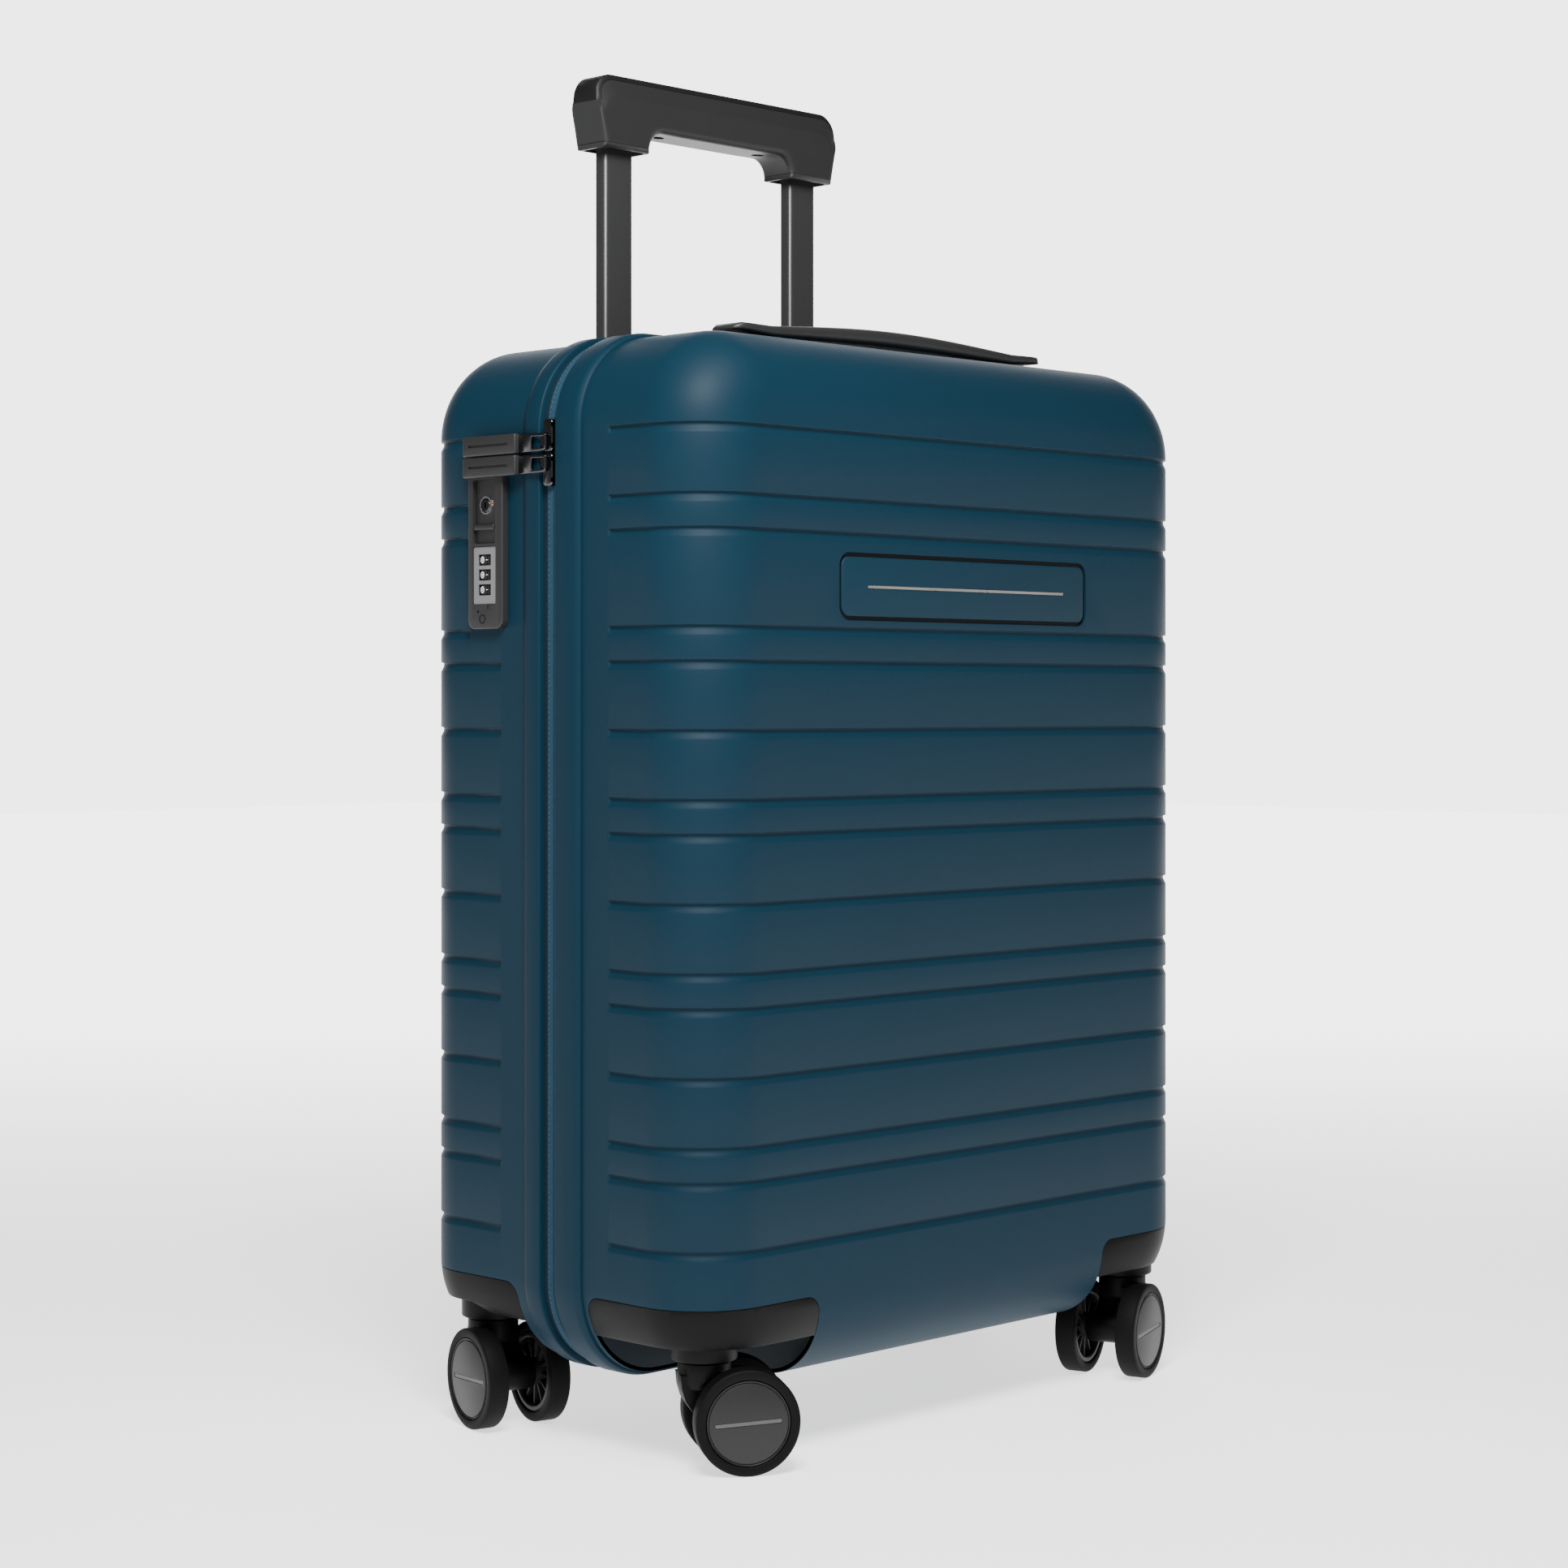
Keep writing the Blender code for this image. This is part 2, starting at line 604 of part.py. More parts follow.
def make_badge():
    """The framed panel in the front face and its metal bar."""
    half = Vector((BADGE_WIDTH / 2, 0, BADGE_HEIGHT / 2))
    centre = Vector((0, 0, BADGE_CENTRE))
    recess = rounded_box(
        centre - half + Vector((0, FRONT_FACE - PAST, 0)),
        centre + half + Vector((0, FRONT_FACE + BADGE_DEPTH, 0)),
        1,
        BADGE_RADIUS,
    )
    combine(FRONT_SHELL, add_cutter("badge_recess", recess))
    inner = half - Vector((BADGE_RING, 0, BADGE_RING))
    panel = rounded_box(
        centre - inner + Vector((0, FRONT_FACE, 0)),
        centre + inner + Vector((0, FRONT_FACE + BADGE_DEPTH - GAP, 0)),
        1,
        BADGE_RADIUS - BADGE_RING,
    )
    panel = add_part("badge_panel", panel, "badge_navy", HALVES[-1], PIVOTS[-1])
    bar_half = Vector((BADGE_BAR[0] / 2, 0, BADGE_BAR[1] / 2))
    margin = Vector((GAP, 0, GAP))
    slot = box(
        centre - bar_half - margin + Vector((0, FRONT_FACE - PAST, 0)),
        centre + bar_half + margin + Vector((0, FRONT_FACE + BADGE_BAR_INLAY + GAP, 0)),
    )
    combine(panel, add_cutter("badge_bar_slot", slot))
    bar = box(
        centre - bar_half + Vector((0, FRONT_FACE - GAP / 2, 0)),
        centre + bar_half + Vector((0, FRONT_FACE + BADGE_BAR_INLAY, 0)),
    )
    add_part("badge_bar", bar, "pale_metal", HALVES[-1], PIVOTS[-1])


# ---------------------------------------------------------------- casters


def make_housing(name, side_x, side_y):
    """The corner bracket that fills the top of a caster pocket and carries the swivel socket."""
    half = side_y
    face = FRONT_FACE if side_y < 0 else BACK_FACE
    radius = FRONT_EDGE_RADIUS if side_y < 0 else BACK_EDGE_RADIUS
    block = corner_block(side_x, side_y, -GAP, HOUSING_TOP, HOUSING_END_BOTTOM)
    made = add_part("caster_housing_" + name, block, "black_plastic", HALVES[half], PIVOTS[half])
    hull = add_cutter(name + "_housing_hull", half_case(0.0, face, SPLIT, radius))
    combine(made, hull, "INTERSECT")

    # The lower edge rises towards the corner of the case.
    rise = box((0, 0, 0), (1, 1, 1))
    for vert in rise.verts:
        high = int(vert.co.z > 0.5)
        outward = vert.co.copy()
        x = HALF_WIDTH + PAST if outward.x > 0.5 else HOUSING_SLANT_X[high]
        y = BACK_FACE + PAST if outward.y > 0.5 else HOUSING_SLANT_Y[high]
        z = HOUSING_CORNER_BOTTOM if high else HOUSING_END_BOTTOM - GAP
        vert.co = (side_x * x, side_y * y, z)
    bmesh.ops.recalc_face_normals(rise, faces=rise.faces)
    combine(made, add_cutter(name + "_housing_rise", rise))

    # A hollow above the floor of the bracket, around the socket of the swivel.
    floor = HOUSING_CORNER_BOTTOM + HOUSING_WALL
    inset = GAP + HOUSING_WALL
    hollow = corner_block(side_x, side_y, -inset, HOUSING_TOP + PAST, floor, -HOUSING_SIDE_EXTRA)
    hollow = add_cutter(name + "_housing_hollow", hollow)
    core = add_cutter(name + "_housing_core", half_case(HOUSING_WALL, face, SPLIT, radius))
    combine(hollow, core, "INTERSECT")
    stem = (side_x * STEM_X, side_y * STEM_Y)
    middle = (HOUSING_CORNER_BOTTOM + HOUSING_TOP) / 2
    socket_length = 2 * PAST + HOUSING_TOP - HOUSING_CORNER_BOTTOM
    socket = cylinder((*stem, middle), SOCKET_RADIUS, socket_length, steps=16)
    combine(hollow, add_cutter(name + "_housing_socket", socket))
    combine(made, hollow)

    collar_height = HOUSING_CORNER_BOTTOM + HOUSING_WALL / 2 - COLLAR_BOTTOM
    collar = cylinder((*stem, COLLAR_BOTTOM + collar_height / 2), COLLAR_RADIUS, collar_height, steps=28)
    round_face(collar, 2, COLLAR_BOTTOM, COLLAR_CHAMFER, 1)
    combine(made, add_cutter(name + "_collar", collar), "UNION")
    bore_top = STEM_PIN_TOP + RUNNING_GAP
    bore = cylinder(
        (*stem, (COLLAR_BOTTOM - PAST + bore_top) / 2),
        STEM_PIN_RADIUS + RUNNING_GAP,
        bore_top - COLLAR_BOTTOM + PAST,
        steps=12,
    )
    return combine(made, add_cutter(name + "_bore", bore))


def make_fork(name, frame):
    """The swivelling fork: stem pin, neck, sloping web and the barrel with its pressed-in axle."""
    neck_top = COLLAR_BOTTOM - GAP
    neck = cylinder(
        (0, 0, (neck_top + FORK_NECK_BOTTOM) / 2), FORK_NECK_RADIUS, neck_top - FORK_NECK_BOTTOM, steps=24
    )
    made = add_part("caster_fork_" + name, neck, "black_plastic", frame)
    half = FORK_WIDTH / 2
    reach = FORK_NECK_RADIUS * FORK_NECK_SHARE
    barrel_half = BARREL_RADIUS * FORK_BARREL_SHARE
    shoulder, top = (FORK_NECK_BOTTOM + lap for lap in FORK_WEB_LAP)
    web_outline = [
        *CASTER_SPINE,
        (TRAIL, WHEEL_RADIUS - barrel_half),
        (TRAIL, WHEEL_RADIUS + barrel_half),
        (reach, shoulder),
        (reach, top),
        (-reach, top),
    ]
    web_half = half * FORK_WEB_SHARE
    web = extruded(web_outline, 1, -web_half, web_half)
    combine(made, add_cutter(name + "_fork_web", web, frame), "UNION")
    barrel = cylinder((TRAIL, 0, WHEEL_RADIUS), BARREL_RADIUS, FORK_WIDTH, "Y", 20)
    combine(made, add_cutter(name + "_fork_barrel", barrel, frame), "UNION")
    arch_width = FORK_NECK_RADIUS
    arches = []
    for side in (-1, 1):
        centre = (TRAIL, side * (half + arch_width / 2 + RUNNING_GAP / 2), WHEEL_RADIUS)
        arches.append(cylinder(centre, WHEEL_RADIUS + WHEEL_ARCH_CLEARANCE, arch_width, "Y", 32))
    combine(made, add_cutter(name + "_fork_arches", joined(*arches), frame))
    axle_length = FORK_WIDTH + 2 * (WHEEL_WIDTH - HUB_WEB)
    axle = cylinder((TRAIL, 0, WHEEL_RADIUS), AXLE_RADIUS, axle_length, "Y", 12)
    combine(made, add_cutter(name + "_fork_axle", axle, frame), "UNION")
    pin_bottom = neck_top - STEM_PIN_LAP
    pin_length = STEM_PIN_TOP - pin_bottom
    pin = cylinder((0, 0, pin_bottom + pin_length / 2), STEM_PIN_RADIUS, pin_length, steps=12)
    return combine(made, add_cutter(name + "_fork_pin", pin, frame), "UNION")


def wheel_meshes():
    """(hub, tyre) about the Y axis, with the closed outer face towards +Y and the open side at zero."""
    bore = AXLE_RADIUS + RUNNING_GAP
    bore_end = WHEEL_WIDTH - HUB_WEB + RUNNING_GAP
    web = WHEEL_WIDTH - HUB_WEB
    rim = HUB_RADIUS - HUB_RIM
    hub_profile = [
        (0.0, WHEEL_WIDTH),
        (HUB_RADIUS - HUB_CHAMFER, WHEEL_WIDTH),
        (HUB_RADIUS - GAP / 2, WHEEL_WIDTH - HUB_CHAMFER),
        (HUB_RADIUS - GAP / 2, HUB_LIP),
        (rim, HUB_LIP),
        (rim, web - HUB_FACE_THICKNESS),
        (HUB_BOSS_RADIUS, web - HUB_FACE_THICKNESS),
        (HUB_BOSS_RADIUS, RUNNING_GAP),
        (bore, RUNNING_GAP),
        (bore, bore_end),
        (0.0, bore_end),
    ]
    inner = HUB_RADIUS + GAP / 2
    turn = TYRE_ROUND * TYRE_TURN
    tread = [
        (inner, WHEEL_WIDTH),
        (WHEEL_RADIUS - TYRE_ROUND, WHEEL_WIDTH),
        (WHEEL_RADIUS - turn, WHEEL_WIDTH - turn),
        (WHEEL_RADIUS, WHEEL_WIDTH - TYRE_ROUND),
        (WHEEL_RADIUS, TYRE_ROUND),
        (WHEEL_RADIUS - turn, turn),
        (WHEEL_RADIUS - TYRE_ROUND, RUNNING_GAP),
        (inner, RUNNING_GAP),
    ]
    solids = turned(hub_profile, WHEEL_STEPS, "hub"), turned(tread, WHEEL_STEPS, "tyre")
    for solid in solids:
        bmesh.ops.transform(solid, matrix=Matrix.Rotation(-math.pi / 2, 4, "X"), verts=solid.verts)
    return solids


def make_caster(name, side_x, side_y):
    make_housing(name, side_x, side_y)
    offset = PIVOTS[side_y]
    stem = Vector((side_x * STEM_X, side_y * STEM_Y, 0)) - Vector(offset)
    frame = new_empty("caster_" + name, stem, HALVES[side_y], CASTER_HEADINGS[name])
    make_fork(name, frame)
    for label, turn in (("outer", 0.0), ("inner", 180.0)):
        side = 1 if turn == 0.0 else -1
        place = (TRAIL, side * (FORK_WIDTH / 2 + GAP / 2), WHEEL_RADIUS)
        axle = new_empty(f"wheel_{name}_{label}", place, frame, turn)
        hub, tyre = wheel_meshes()
        add_part(f"wheel_hub_{name}_{label}", hub, "wheel_plastic", axle)
        add_part(f"tyre_{name}_{label}", tyre, "tyre_rubber", axle)


# ---------------------------------------------------------------- trolley


def make_tube(name, x, size, reach, parent, offset):
    """A rounded rectangular tube, open at both ends. reach is its lowest and highest place on Z."""
    width, depth = size
    low, high = reach
    near = (x - width / 2, TUBE_Y - depth / 2, low)
    far = (x + width / 2, TUBE_Y + depth / 2, high)
    outer = rounded_box(near, far, 2, TUBE_CORNER, 3)
    made = add_part(name, outer, "tube_metal", parent, offset)
    width -= 2 * TUBE_WALL
    depth -= 2 * TUBE_WALL
    bore = rounded_box(
        (x - width / 2, TUBE_Y - depth / 2, low - PAST),
        (x + width / 2, TUBE_Y + depth / 2, high + PAST),
        2,
        TUBE_CORNER - TUBE_WALL,
        2,
    )
    return combine(made, add_cutter(name + "_bore", bore, parent, offset))


def tray_box(grow, bottom):
    """The recess for the grip, larger by grow all round, from bottom to above the case."""
    reach_x = GRIP_WIDTH / 2 + TRAY_CLEARANCE + grow
    reach_y = GRIP_DEPTH / 2 + TRAY_CLEARANCE + grow
    low = (-reach_x, TUBE_Y - reach_y, bottom)
    high = (reach_x, TUBE_Y + reach_y, CASE_TOP + PAST)
    return rounded_box(low, high, 2, TRAY_RADIUS + grow)


def make_tray():
    """The recess cup in the top of the back shell, with holes for the telescopic tubes."""
    underside = TRAY_FLOOR - TRAY_FLOOR_THICKNESS
    made = add_part("handle_tray", tray_box(TRAY_WALL, underside), "black_plastic")
    hull = half_case(0.0, BACK_FACE, SPLIT, BACK_EDGE_RADIUS)
    combine(made, add_cutter("tray_hull", hull), "INTERSECT")
    combine(made, add_cutter("tray_space", tray_box(0.0, TRAY_FLOOR)))
    holes = []
    for side in (-1, 1):
        width, depth = (size / 2 + RUNNING_GAP for size in MIDDLE_TUBE)
        x = side * TUBE_X
        low = (x - width, TUBE_Y - depth, underside - PAST)
        high = (x + width, TUBE_Y + depth, TRAY_FLOOR + PAST)
        holes.append(rounded_box(low, high, 2, TUBE_CORNER, 2))
    combine(made, add_cutter("tray_tube_holes", joined(*holes)))
    combine(BACK_SHELL, add_cutter("tray_opening", tray_box(TRAY_WALL + GAP, underside - GAP)))


def make_tubes():
    outer_top = TRAY_FLOOR - TRAY_FLOOR_THICKNESS - GAP
    for side, label in ((-1, "left"), (1, "right")):
        x = side * TUBE_X
        inner_top = GRIP_LEG_BOTTOM + GRIP_SOCKET - GAP
        outer_reach = (TUBE_END, outer_top)
        middle_reach = (MIDDLE_TUBE_BOTTOM, TRAY_FLOOR)
        inner_reach = (INNER_TUBE_BOTTOM, inner_top)
        make_tube("tube_outer_" + label, x, OUTER_TUBE, outer_reach, SUITCASE, (0, 0, 0))
        make_tube("tube_middle_" + label, x, MIDDLE_TUBE, middle_reach, MIDDLE, MIDDLE_PLACE)
        make_tube("tube_inner_" + label, x, INNER_TUBE, inner_reach, GRIP, GRIP_PLACE)
    length, depth = BASE_BAR
    near = (-length / 2, BACK_LINING_FLOOR + 2 * GAP, CASE_BOTTOM)
    far = (length / 2, BACK_LINING_FLOOR + depth, TUBE_END - GAP)
    bar = box(near, far)
    base = add_part("tube_base", bar, "black_plastic")
    hull = half_case(WALL + GAP, BACK_FACE, SPLIT, BACK_EDGE_RADIUS)
    combine(base, add_cutter("tube_base_hull", hull), "INTERSECT")


def grip_over(inset):
    """Half of the grip's top edge, set in by inset, from the middle of the top down to the shoulder."""
    side = GRIP_WIDTH / 2 - inset
    top = GRIP_TOP - inset
    corner = GRIP_CORNER - inset
    return [*arc((side - corner, top - corner), corner, 90, 0, 4), (side, GRIP_SHOULDER - inset / 4)]


def mirrored(right):
    """A closed outline from its right half, which runs from the top down."""
    return right + [(-x, z) for x, z in reversed(right)]


def grip_block():
    """The whole grip as one block, seen from the front as an arch with rounded edges."""
    fillet = arc((GRIP_LEG_INSIDE - GRIP_FILLET, GRIP_BAR_BOTTOM - GRIP_FILLET), GRIP_FILLET, 0, 90, 4)
    foot = [(GRIP_WAIST, GRIP_LEG_BOTTOM), (GRIP_LEG_INSIDE, GRIP_LEG_BOTTOM)]
    outline = mirrored([*grip_over(0.0), *foot, *fillet])
    block = extruded(outline, 1, TUBE_Y - GRIP_DEPTH / 2, TUBE_Y + GRIP_DEPTH / 2)
    for side in (-1, 1):
        round_face(block, 1, TUBE_Y + side * GRIP_DEPTH / 2, GRIP_EDGE, 2)
    return block


def grip_cap(name, inset):
    """Everything above and beside the grip's top edge set in by inset."""
    over = grip_over(inset)
    reach = GRIP_WIDTH / 2 + PAST
    outline = mirrored([(reach, GRIP_TOP + PAST), (reach, over[-1][1]), *reversed(over)])
    cap = extruded(outline, 1, TUBE_Y - GRIP_DEPTH, TUBE_Y + GRIP_DEPTH)
    return add_cutter(name, cap, GRIP, GRIP_PLACE)


def make_grip():
    """The grip's moulded body, its top cover and the push button between them."""
    body = add_part("grip_body", grip_block(), "grip_plastic", GRIP, GRIP_PLACE)
    combine(body, grip_cap("grip_body_seat", GRIP_COVER + GAP))
    cover = add_part("grip_cover", grip_block(), "grip_plastic", GRIP, GRIP_PLACE)
    combine(cover, grip_cap("grip_cover_reach", GRIP_COVER), "INTERSECT")

    length, width = BUTTON
    button_top = GRIP_TOP + BUTTON_PROUD
    button_bottom = button_top - BUTTON_HEIGHT
    low = Vector((-length / 2, TUBE_Y - width / 2, button_bottom))
    high = Vector((length / 2, TUBE_Y + width / 2, button_top))
    button = rounded_box(low, high, 2, width / 3, 3)
    add_part("grip_button", button, "grip_plastic", BUTTON_FRAME, BUTTON_PLACE)
    margin = Vector((RUNNING_GAP, RUNNING_GAP, 0))
    deep = Vector((0, 0, BUTTON_TRAVEL + RUNNING_GAP))
    well = rounded_box(low - margin - deep, high + margin + Vector((0, 0, PAST)), 2, width / 3, 3)
    well = add_cutter("grip_button_well", well, GRIP, GRIP_PLACE)
    combine(body, well)
    combine(cover, well)

    sockets = []
    for side in (-1, 1):
        wide, deep_y = (size / 2 + GAP for size in INNER_TUBE)
        x = side * TUBE_X
        low = (x - wide, TUBE_Y - deep_y, GRIP_LEG_BOTTOM - PAST)
        high = (x + wide, TUBE_Y + deep_y, GRIP_LEG_BOTTOM + GRIP_SOCKET)
        sockets.append(rounded_box(low, high, 2, TUBE_CORNER, 3))
        screw = (side * GRIP_SCREW_X, TUBE_Y, GRIP_BAR_BOTTOM)
        sockets.append(cylinder(screw, GRIP_SCREW_RADIUS, 2 * GRIP_SCREW_DEPTH, steps=12))
    combine(body, add_cutter("grip_sockets", joined(*sockets), GRIP, GRIP_PLACE))


# ---------------------------------------------------------------- carry handle


def make_carry_handle():
    """A flexible strap, bowed up in the middle, on two feet."""
    seat = SHELL_TOP + GAP
    half = HANDLE_LENGTH / 2
    under, over = [], []
    for step in range(HANDLE_STEPS + 1):
        share = 2 * step / HANDLE_STEPS - 1
        lift = HANDLE_END_RISE + HANDLE_BOW * math.cos(share * math.pi / 2) ** 2
        thin = 1 - HANDLE_THINNING * share**6
        under.append((share * half, seat + lift))
        over.append((share * half, seat + lift + HANDLE_THICKNESS * thin))
    strap = extruded(under + over[::-1], 1, HANDLE_Y - HANDLE_WIDTH / 2, HANDLE_Y + HANDLE_WIDTH / 2)
    made = add_part("carry_handle", strap, "soft_grip", HANDLE, HANDLE_PLACE)
    share = HANDLE_FOOT_X / half
    foot_top = seat + HANDLE_END_RISE + HANDLE_BOW * math.cos(share * math.pi / 2) ** 2 + HANDLE_THICKNESS / 2
    feet = []
    for side in (-1, 1):
        centre = (side * HANDLE_FOOT_X, HANDLE_Y, (seat + foot_top) / 2)
        feet.append(cylinder(centre, HANDLE_FOOT_RADIUS, foot_top - seat, steps=16))
    feet = add_cutter("carry_handle_feet", joined(*feet), HANDLE, HANDLE_PLACE)
    return combine(made, feet, "UNION")


# ---------------------------------------------------------------- lock and zip sliders


def make_lock():
    """The lock plate with its key recess, dial window and the box that passes into the case."""
    plate = rounded_box(
        (LOCK_FACE, LOCK_Y[0], LOCK_Z[0]), (-SHELL_SIDE - GAP, LOCK_Y[1], LOCK_Z[1]), 0, LOCK_RADIUS, 4
    )
    round_face(plate, 0, LOCK_FACE, LOCK_CHAMFER, 1)
    made = add_part("lock_housing", plate, "lock_plastic")
    back = box(
        (LOCK_FACE + LOCK_BOX_LAP, LOCK_BOX_Y[0], LOCK_BOX_Z[0]),
        (LOCK_FACE + LOCK_BOX_DEPTH, LOCK_BOX_Y[1], LOCK_BOX_Z[1]),
    )
    combine(made, add_cutter("lock_box", back), "UNION")
    recess = box(
        (LOCK_FACE - PAST, KEY_RECESS_Y[0], KEY_RECESS_Z[0]),
        (LOCK_FACE + KEY_RECESS_DEPTH, KEY_RECESS_Y[1], KEY_RECESS_Z[1]),
    )
    window = box(
        (LOCK_FACE - PAST, DIAL_PANEL_Y[0], DIAL_PANEL_Z[0]),
        (LOCK_FACE + DIAL_PANEL_DEPTH, DIAL_PANEL_Y[1], DIAL_PANEL_Z[1]),
    )
    combine(made, add_cutter("lock_recesses", joined(recess, window)))
    wells = []
    for number, place in enumerate(DIAL_PLACES, 1):
        centre = (LOCK_FACE + DIAL_SINK, LOCK_AXIS_Y, place)
        well_width = DIAL_WIDTH + 2 * RUNNING_GAP
        wells.append(cylinder(centre, DIAL_RADIUS + RUNNING_GAP, well_width, steps=DIAL_STEPS))
        frame = new_empty(f"dial_axis_{number}", centre, SUITCASE)
        dial = cylinder((0, 0, 0), DIAL_RADIUS, DIAL_WIDTH, steps=DIAL_STEPS)
        add_part(f"lock_dial_{number}", dial, "dial_plastic", frame)
    key_face = LOCK_FACE + KEY_RECESS_DEPTH - KEY_PROUD
    key_place = (key_face + KEY_LENGTH / 2, LOCK_AXIS_Y, KEY_Z)
    well_length = KEY_LENGTH + RUNNING_GAP + PAST
    well_place = (key_face - PAST + well_length / 2, LOCK_AXIS_Y, KEY_Z)
    wells.append(cylinder(well_place, KEY_RADIUS + RUNNING_GAP, well_length, "X", 20))
    combine(made, add_cutter("lock_wells", joined(*wells)))
    frame = new_empty("key_axis", key_place, SUITCASE)
    key = add_part("lock_key_cylinder", cylinder((0, 0, 0), KEY_RADIUS, KEY_LENGTH, "X", 20), "steel", frame)
    slit_width, slit_height, slit_depth = KEY_SLIT
    slit = box(
        (-KEY_LENGTH, -slit_width / 2, -slit_height / 2),
        (-KEY_LENGTH / 2 + slit_depth, slit_width / 2, slit_height / 2),
    )
    combine(key, add_cutter("key_slit", slit, frame))
    width, height = RELEASE_SIZE
    place = (LOCK_FACE + KEY_RECESS_DEPTH - GAP, LOCK_AXIS_Y, RELEASE_Z)
    bar = box((-RELEASE_PROUD, -width / 2, -height / 2), (0, width / 2, height / 2))
    add_part("lock_release_bar", bar, "lock_plastic", new_empty("release_axis", place, SUITCASE))
    return made


def lock_hole(name, grow):
    """The hole for the box of the lock, larger by grow."""
    return add_cutter(
        name,
        box(
            (LOCK_FACE - PAST, LOCK_BOX_Y[0] - grow, LOCK_BOX_Z[0] - grow),
            (LOCK_FACE + LOCK_BOX_DEPTH + grow, LOCK_BOX_Y[1] + grow, LOCK_BOX_Z[1] + grow),
        ),
    )


def make_slider(label, centre, toward):
    """A zip slider with its bail, and the puller that turns on it. toward is +1 if the slider is above."""
    tape_face = -HALF_WIDTH + TAPE_INSET
    back = tape_face - GAP
    face = back - SLIDER_THICKNESS
    near = centre - toward * (PULLER_HEIGHT / 2 - GAP / 2)
    far = near + toward * SLIDER_LENGTH
    low, high = sorted((near, far))
    frame = new_empty(f"zip_slider_{label}_frame", (face, PULLER_BAR_Y, centre), SUITCASE)
    offset = (face, PULLER_BAR_Y, centre)
    body = rounded_box((face, SLIDER_Y[0], low), (back, SLIDER_Y[1], high), 0, SLIDER_CORNER, 2)
    body = add_part(f"zip_slider_{label}", body, "gunmetal", frame, offset)
    bar_centre = face - GAP - PULLER_BAR / 2
    reach = PULLER_BAR / 2 + GAP
    bail_outside = rounded_box(
        (bar_centre - reach - BAIL_WALL, PULLER_BAR_Y - reach - BAIL_WALL, centre - BAIL_HALF_HEIGHT),
        (face + BAIL_LAP, PULLER_BAR_Y + reach + BAIL_WALL, centre + BAIL_HALF_HEIGHT),
        2,
        BAIL_CORNER,
        1,
    )
    combine(body, add_cutter(f"{label}_bail", bail_outside, frame, offset), "UNION")
    window = box(
        (bar_centre - reach, PULLER_BAR_Y - reach, centre - PAST),
        (bar_centre + reach, PULLER_BAR_Y + reach, centre + PAST),
    )
    combine(body, add_cutter(f"{label}_bail_window", window, frame, offset))

    pivot = (bar_centre, PULLER_BAR_Y, centre)
    swing = new_empty(f"zip_puller_{label}_axis", Vector(pivot) - Vector(offset), frame)
    half = PULLER_HEIGHT / 2
    plate_back = LOCK_FACE - PULLER_CLEARANCE
    near = (plate_back - PULLER_THICKNESS, PULLER_Y[0], centre - half)
    far = (plate_back, PULLER_Y[1], centre + half)
    plate = rounded_box(near, far, 0, PULLER_CORNER, 2)
    puller = add_part(f"zip_puller_{label}", plate, "lock_plastic", swing, pivot)
    bar = PULLER_BAR / 2
    window_lap, loop_lap = PULLER_LOOP_LAP
    loop = box(
        (bar_centre - bar, PULLER_BAR_Y - bar, centre - half + GAP),
        (bar_centre + bar, PULLER_Y[0] + loop_lap, centre + half - GAP),
    )
    loop = add_cutter(f"{label}_loop", loop, swing, pivot)
    hole = box(
        (bar_centre - PAST, PULLER_BAR_Y + bar, centre - PULLER_LOOP_HALF),
        (bar_centre + PAST, PULLER_Y[0] - window_lap, centre + PULLER_LOOP_HALF),
    )
    combine(loop, add_cutter(f"{label}_loop_window", hole, swing, pivot))
    return combine(puller, loop, "UNION")


# ---------------------------------------------------------------- inside


def make_straps():
    """Two crossed packing straps with a buckle where they meet, lying on the floor of the back lining."""
    seat = BACK_LINING_FLOOR - LINING - GAP
    centre_z = (CASE_TOP + CASE_BOTTOM) / 2
    buckle = rounded_box(
        (-BUCKLE[0] / 2, seat - BUCKLE[2], centre_z - BUCKLE[1] / 2),
        (BUCKLE[0] / 2, seat, centre_z + BUCKLE[1] / 2),
        1,
        BUCKLE_CORNER,
    )
    made = add_part("packing_straps", buckle, "strap_webbing")
    for label, slope in (("rising", 1), ("falling", -1)):
        reach = Vector((STRAP_REACH[0], 0, slope * STRAP_REACH[1]))
        strap = box(
            (-reach.length, -STRAP_THICKNESS, -STRAP_WIDTH / 2), (reach.length, 0, STRAP_WIDTH / 2)
        )
        turn = Matrix.Rotation(-math.atan2(reach.z, reach.x), 4, "Y")
        bmesh.ops.transform(strap, matrix=turn, verts=strap.verts)
        bmesh.ops.translate(strap, verts=strap.verts, vec=(0, seat, centre_z))
        combine(made, add_cutter(f"strap_{label}", strap), "UNION")


def make_gusset():
    """The cloth hinge strip along the inside of the hinge side."""
    outside = SHELL_SIDE - WALL - GAP - LINING - GAP
    strip = box(
        (outside - GUSSET_THICKNESS, SPLIT + GAP, GUSSET_Z[0]),
        (outside, SPLIT + GAP + GUSSET_DEPTH, GUSSET_Z[1]),
    )
    add_part("hinge_gusset", strip, "lining_cloth")


def centre_on_floor():
    """Moves the suitcase so that the origin is below the middle of its bounding box."""
    bpy.context.view_layer.update()
    graph = bpy.context.evaluated_depsgraph_get()
    places = []
    for part in PARTS.objects:
        if part.type == "MESH":
            solid = part.evaluated_get(graph)
            places += [solid.matrix_world @ vert.co for vert in solid.data.vertices]
    for axis in (0, 1):
        reach = [place[axis] for place in places]
        SUITCASE.location[axis] = -(min(reach) + max(reach)) / 2


# ---------------------------------------------------------------- assembly

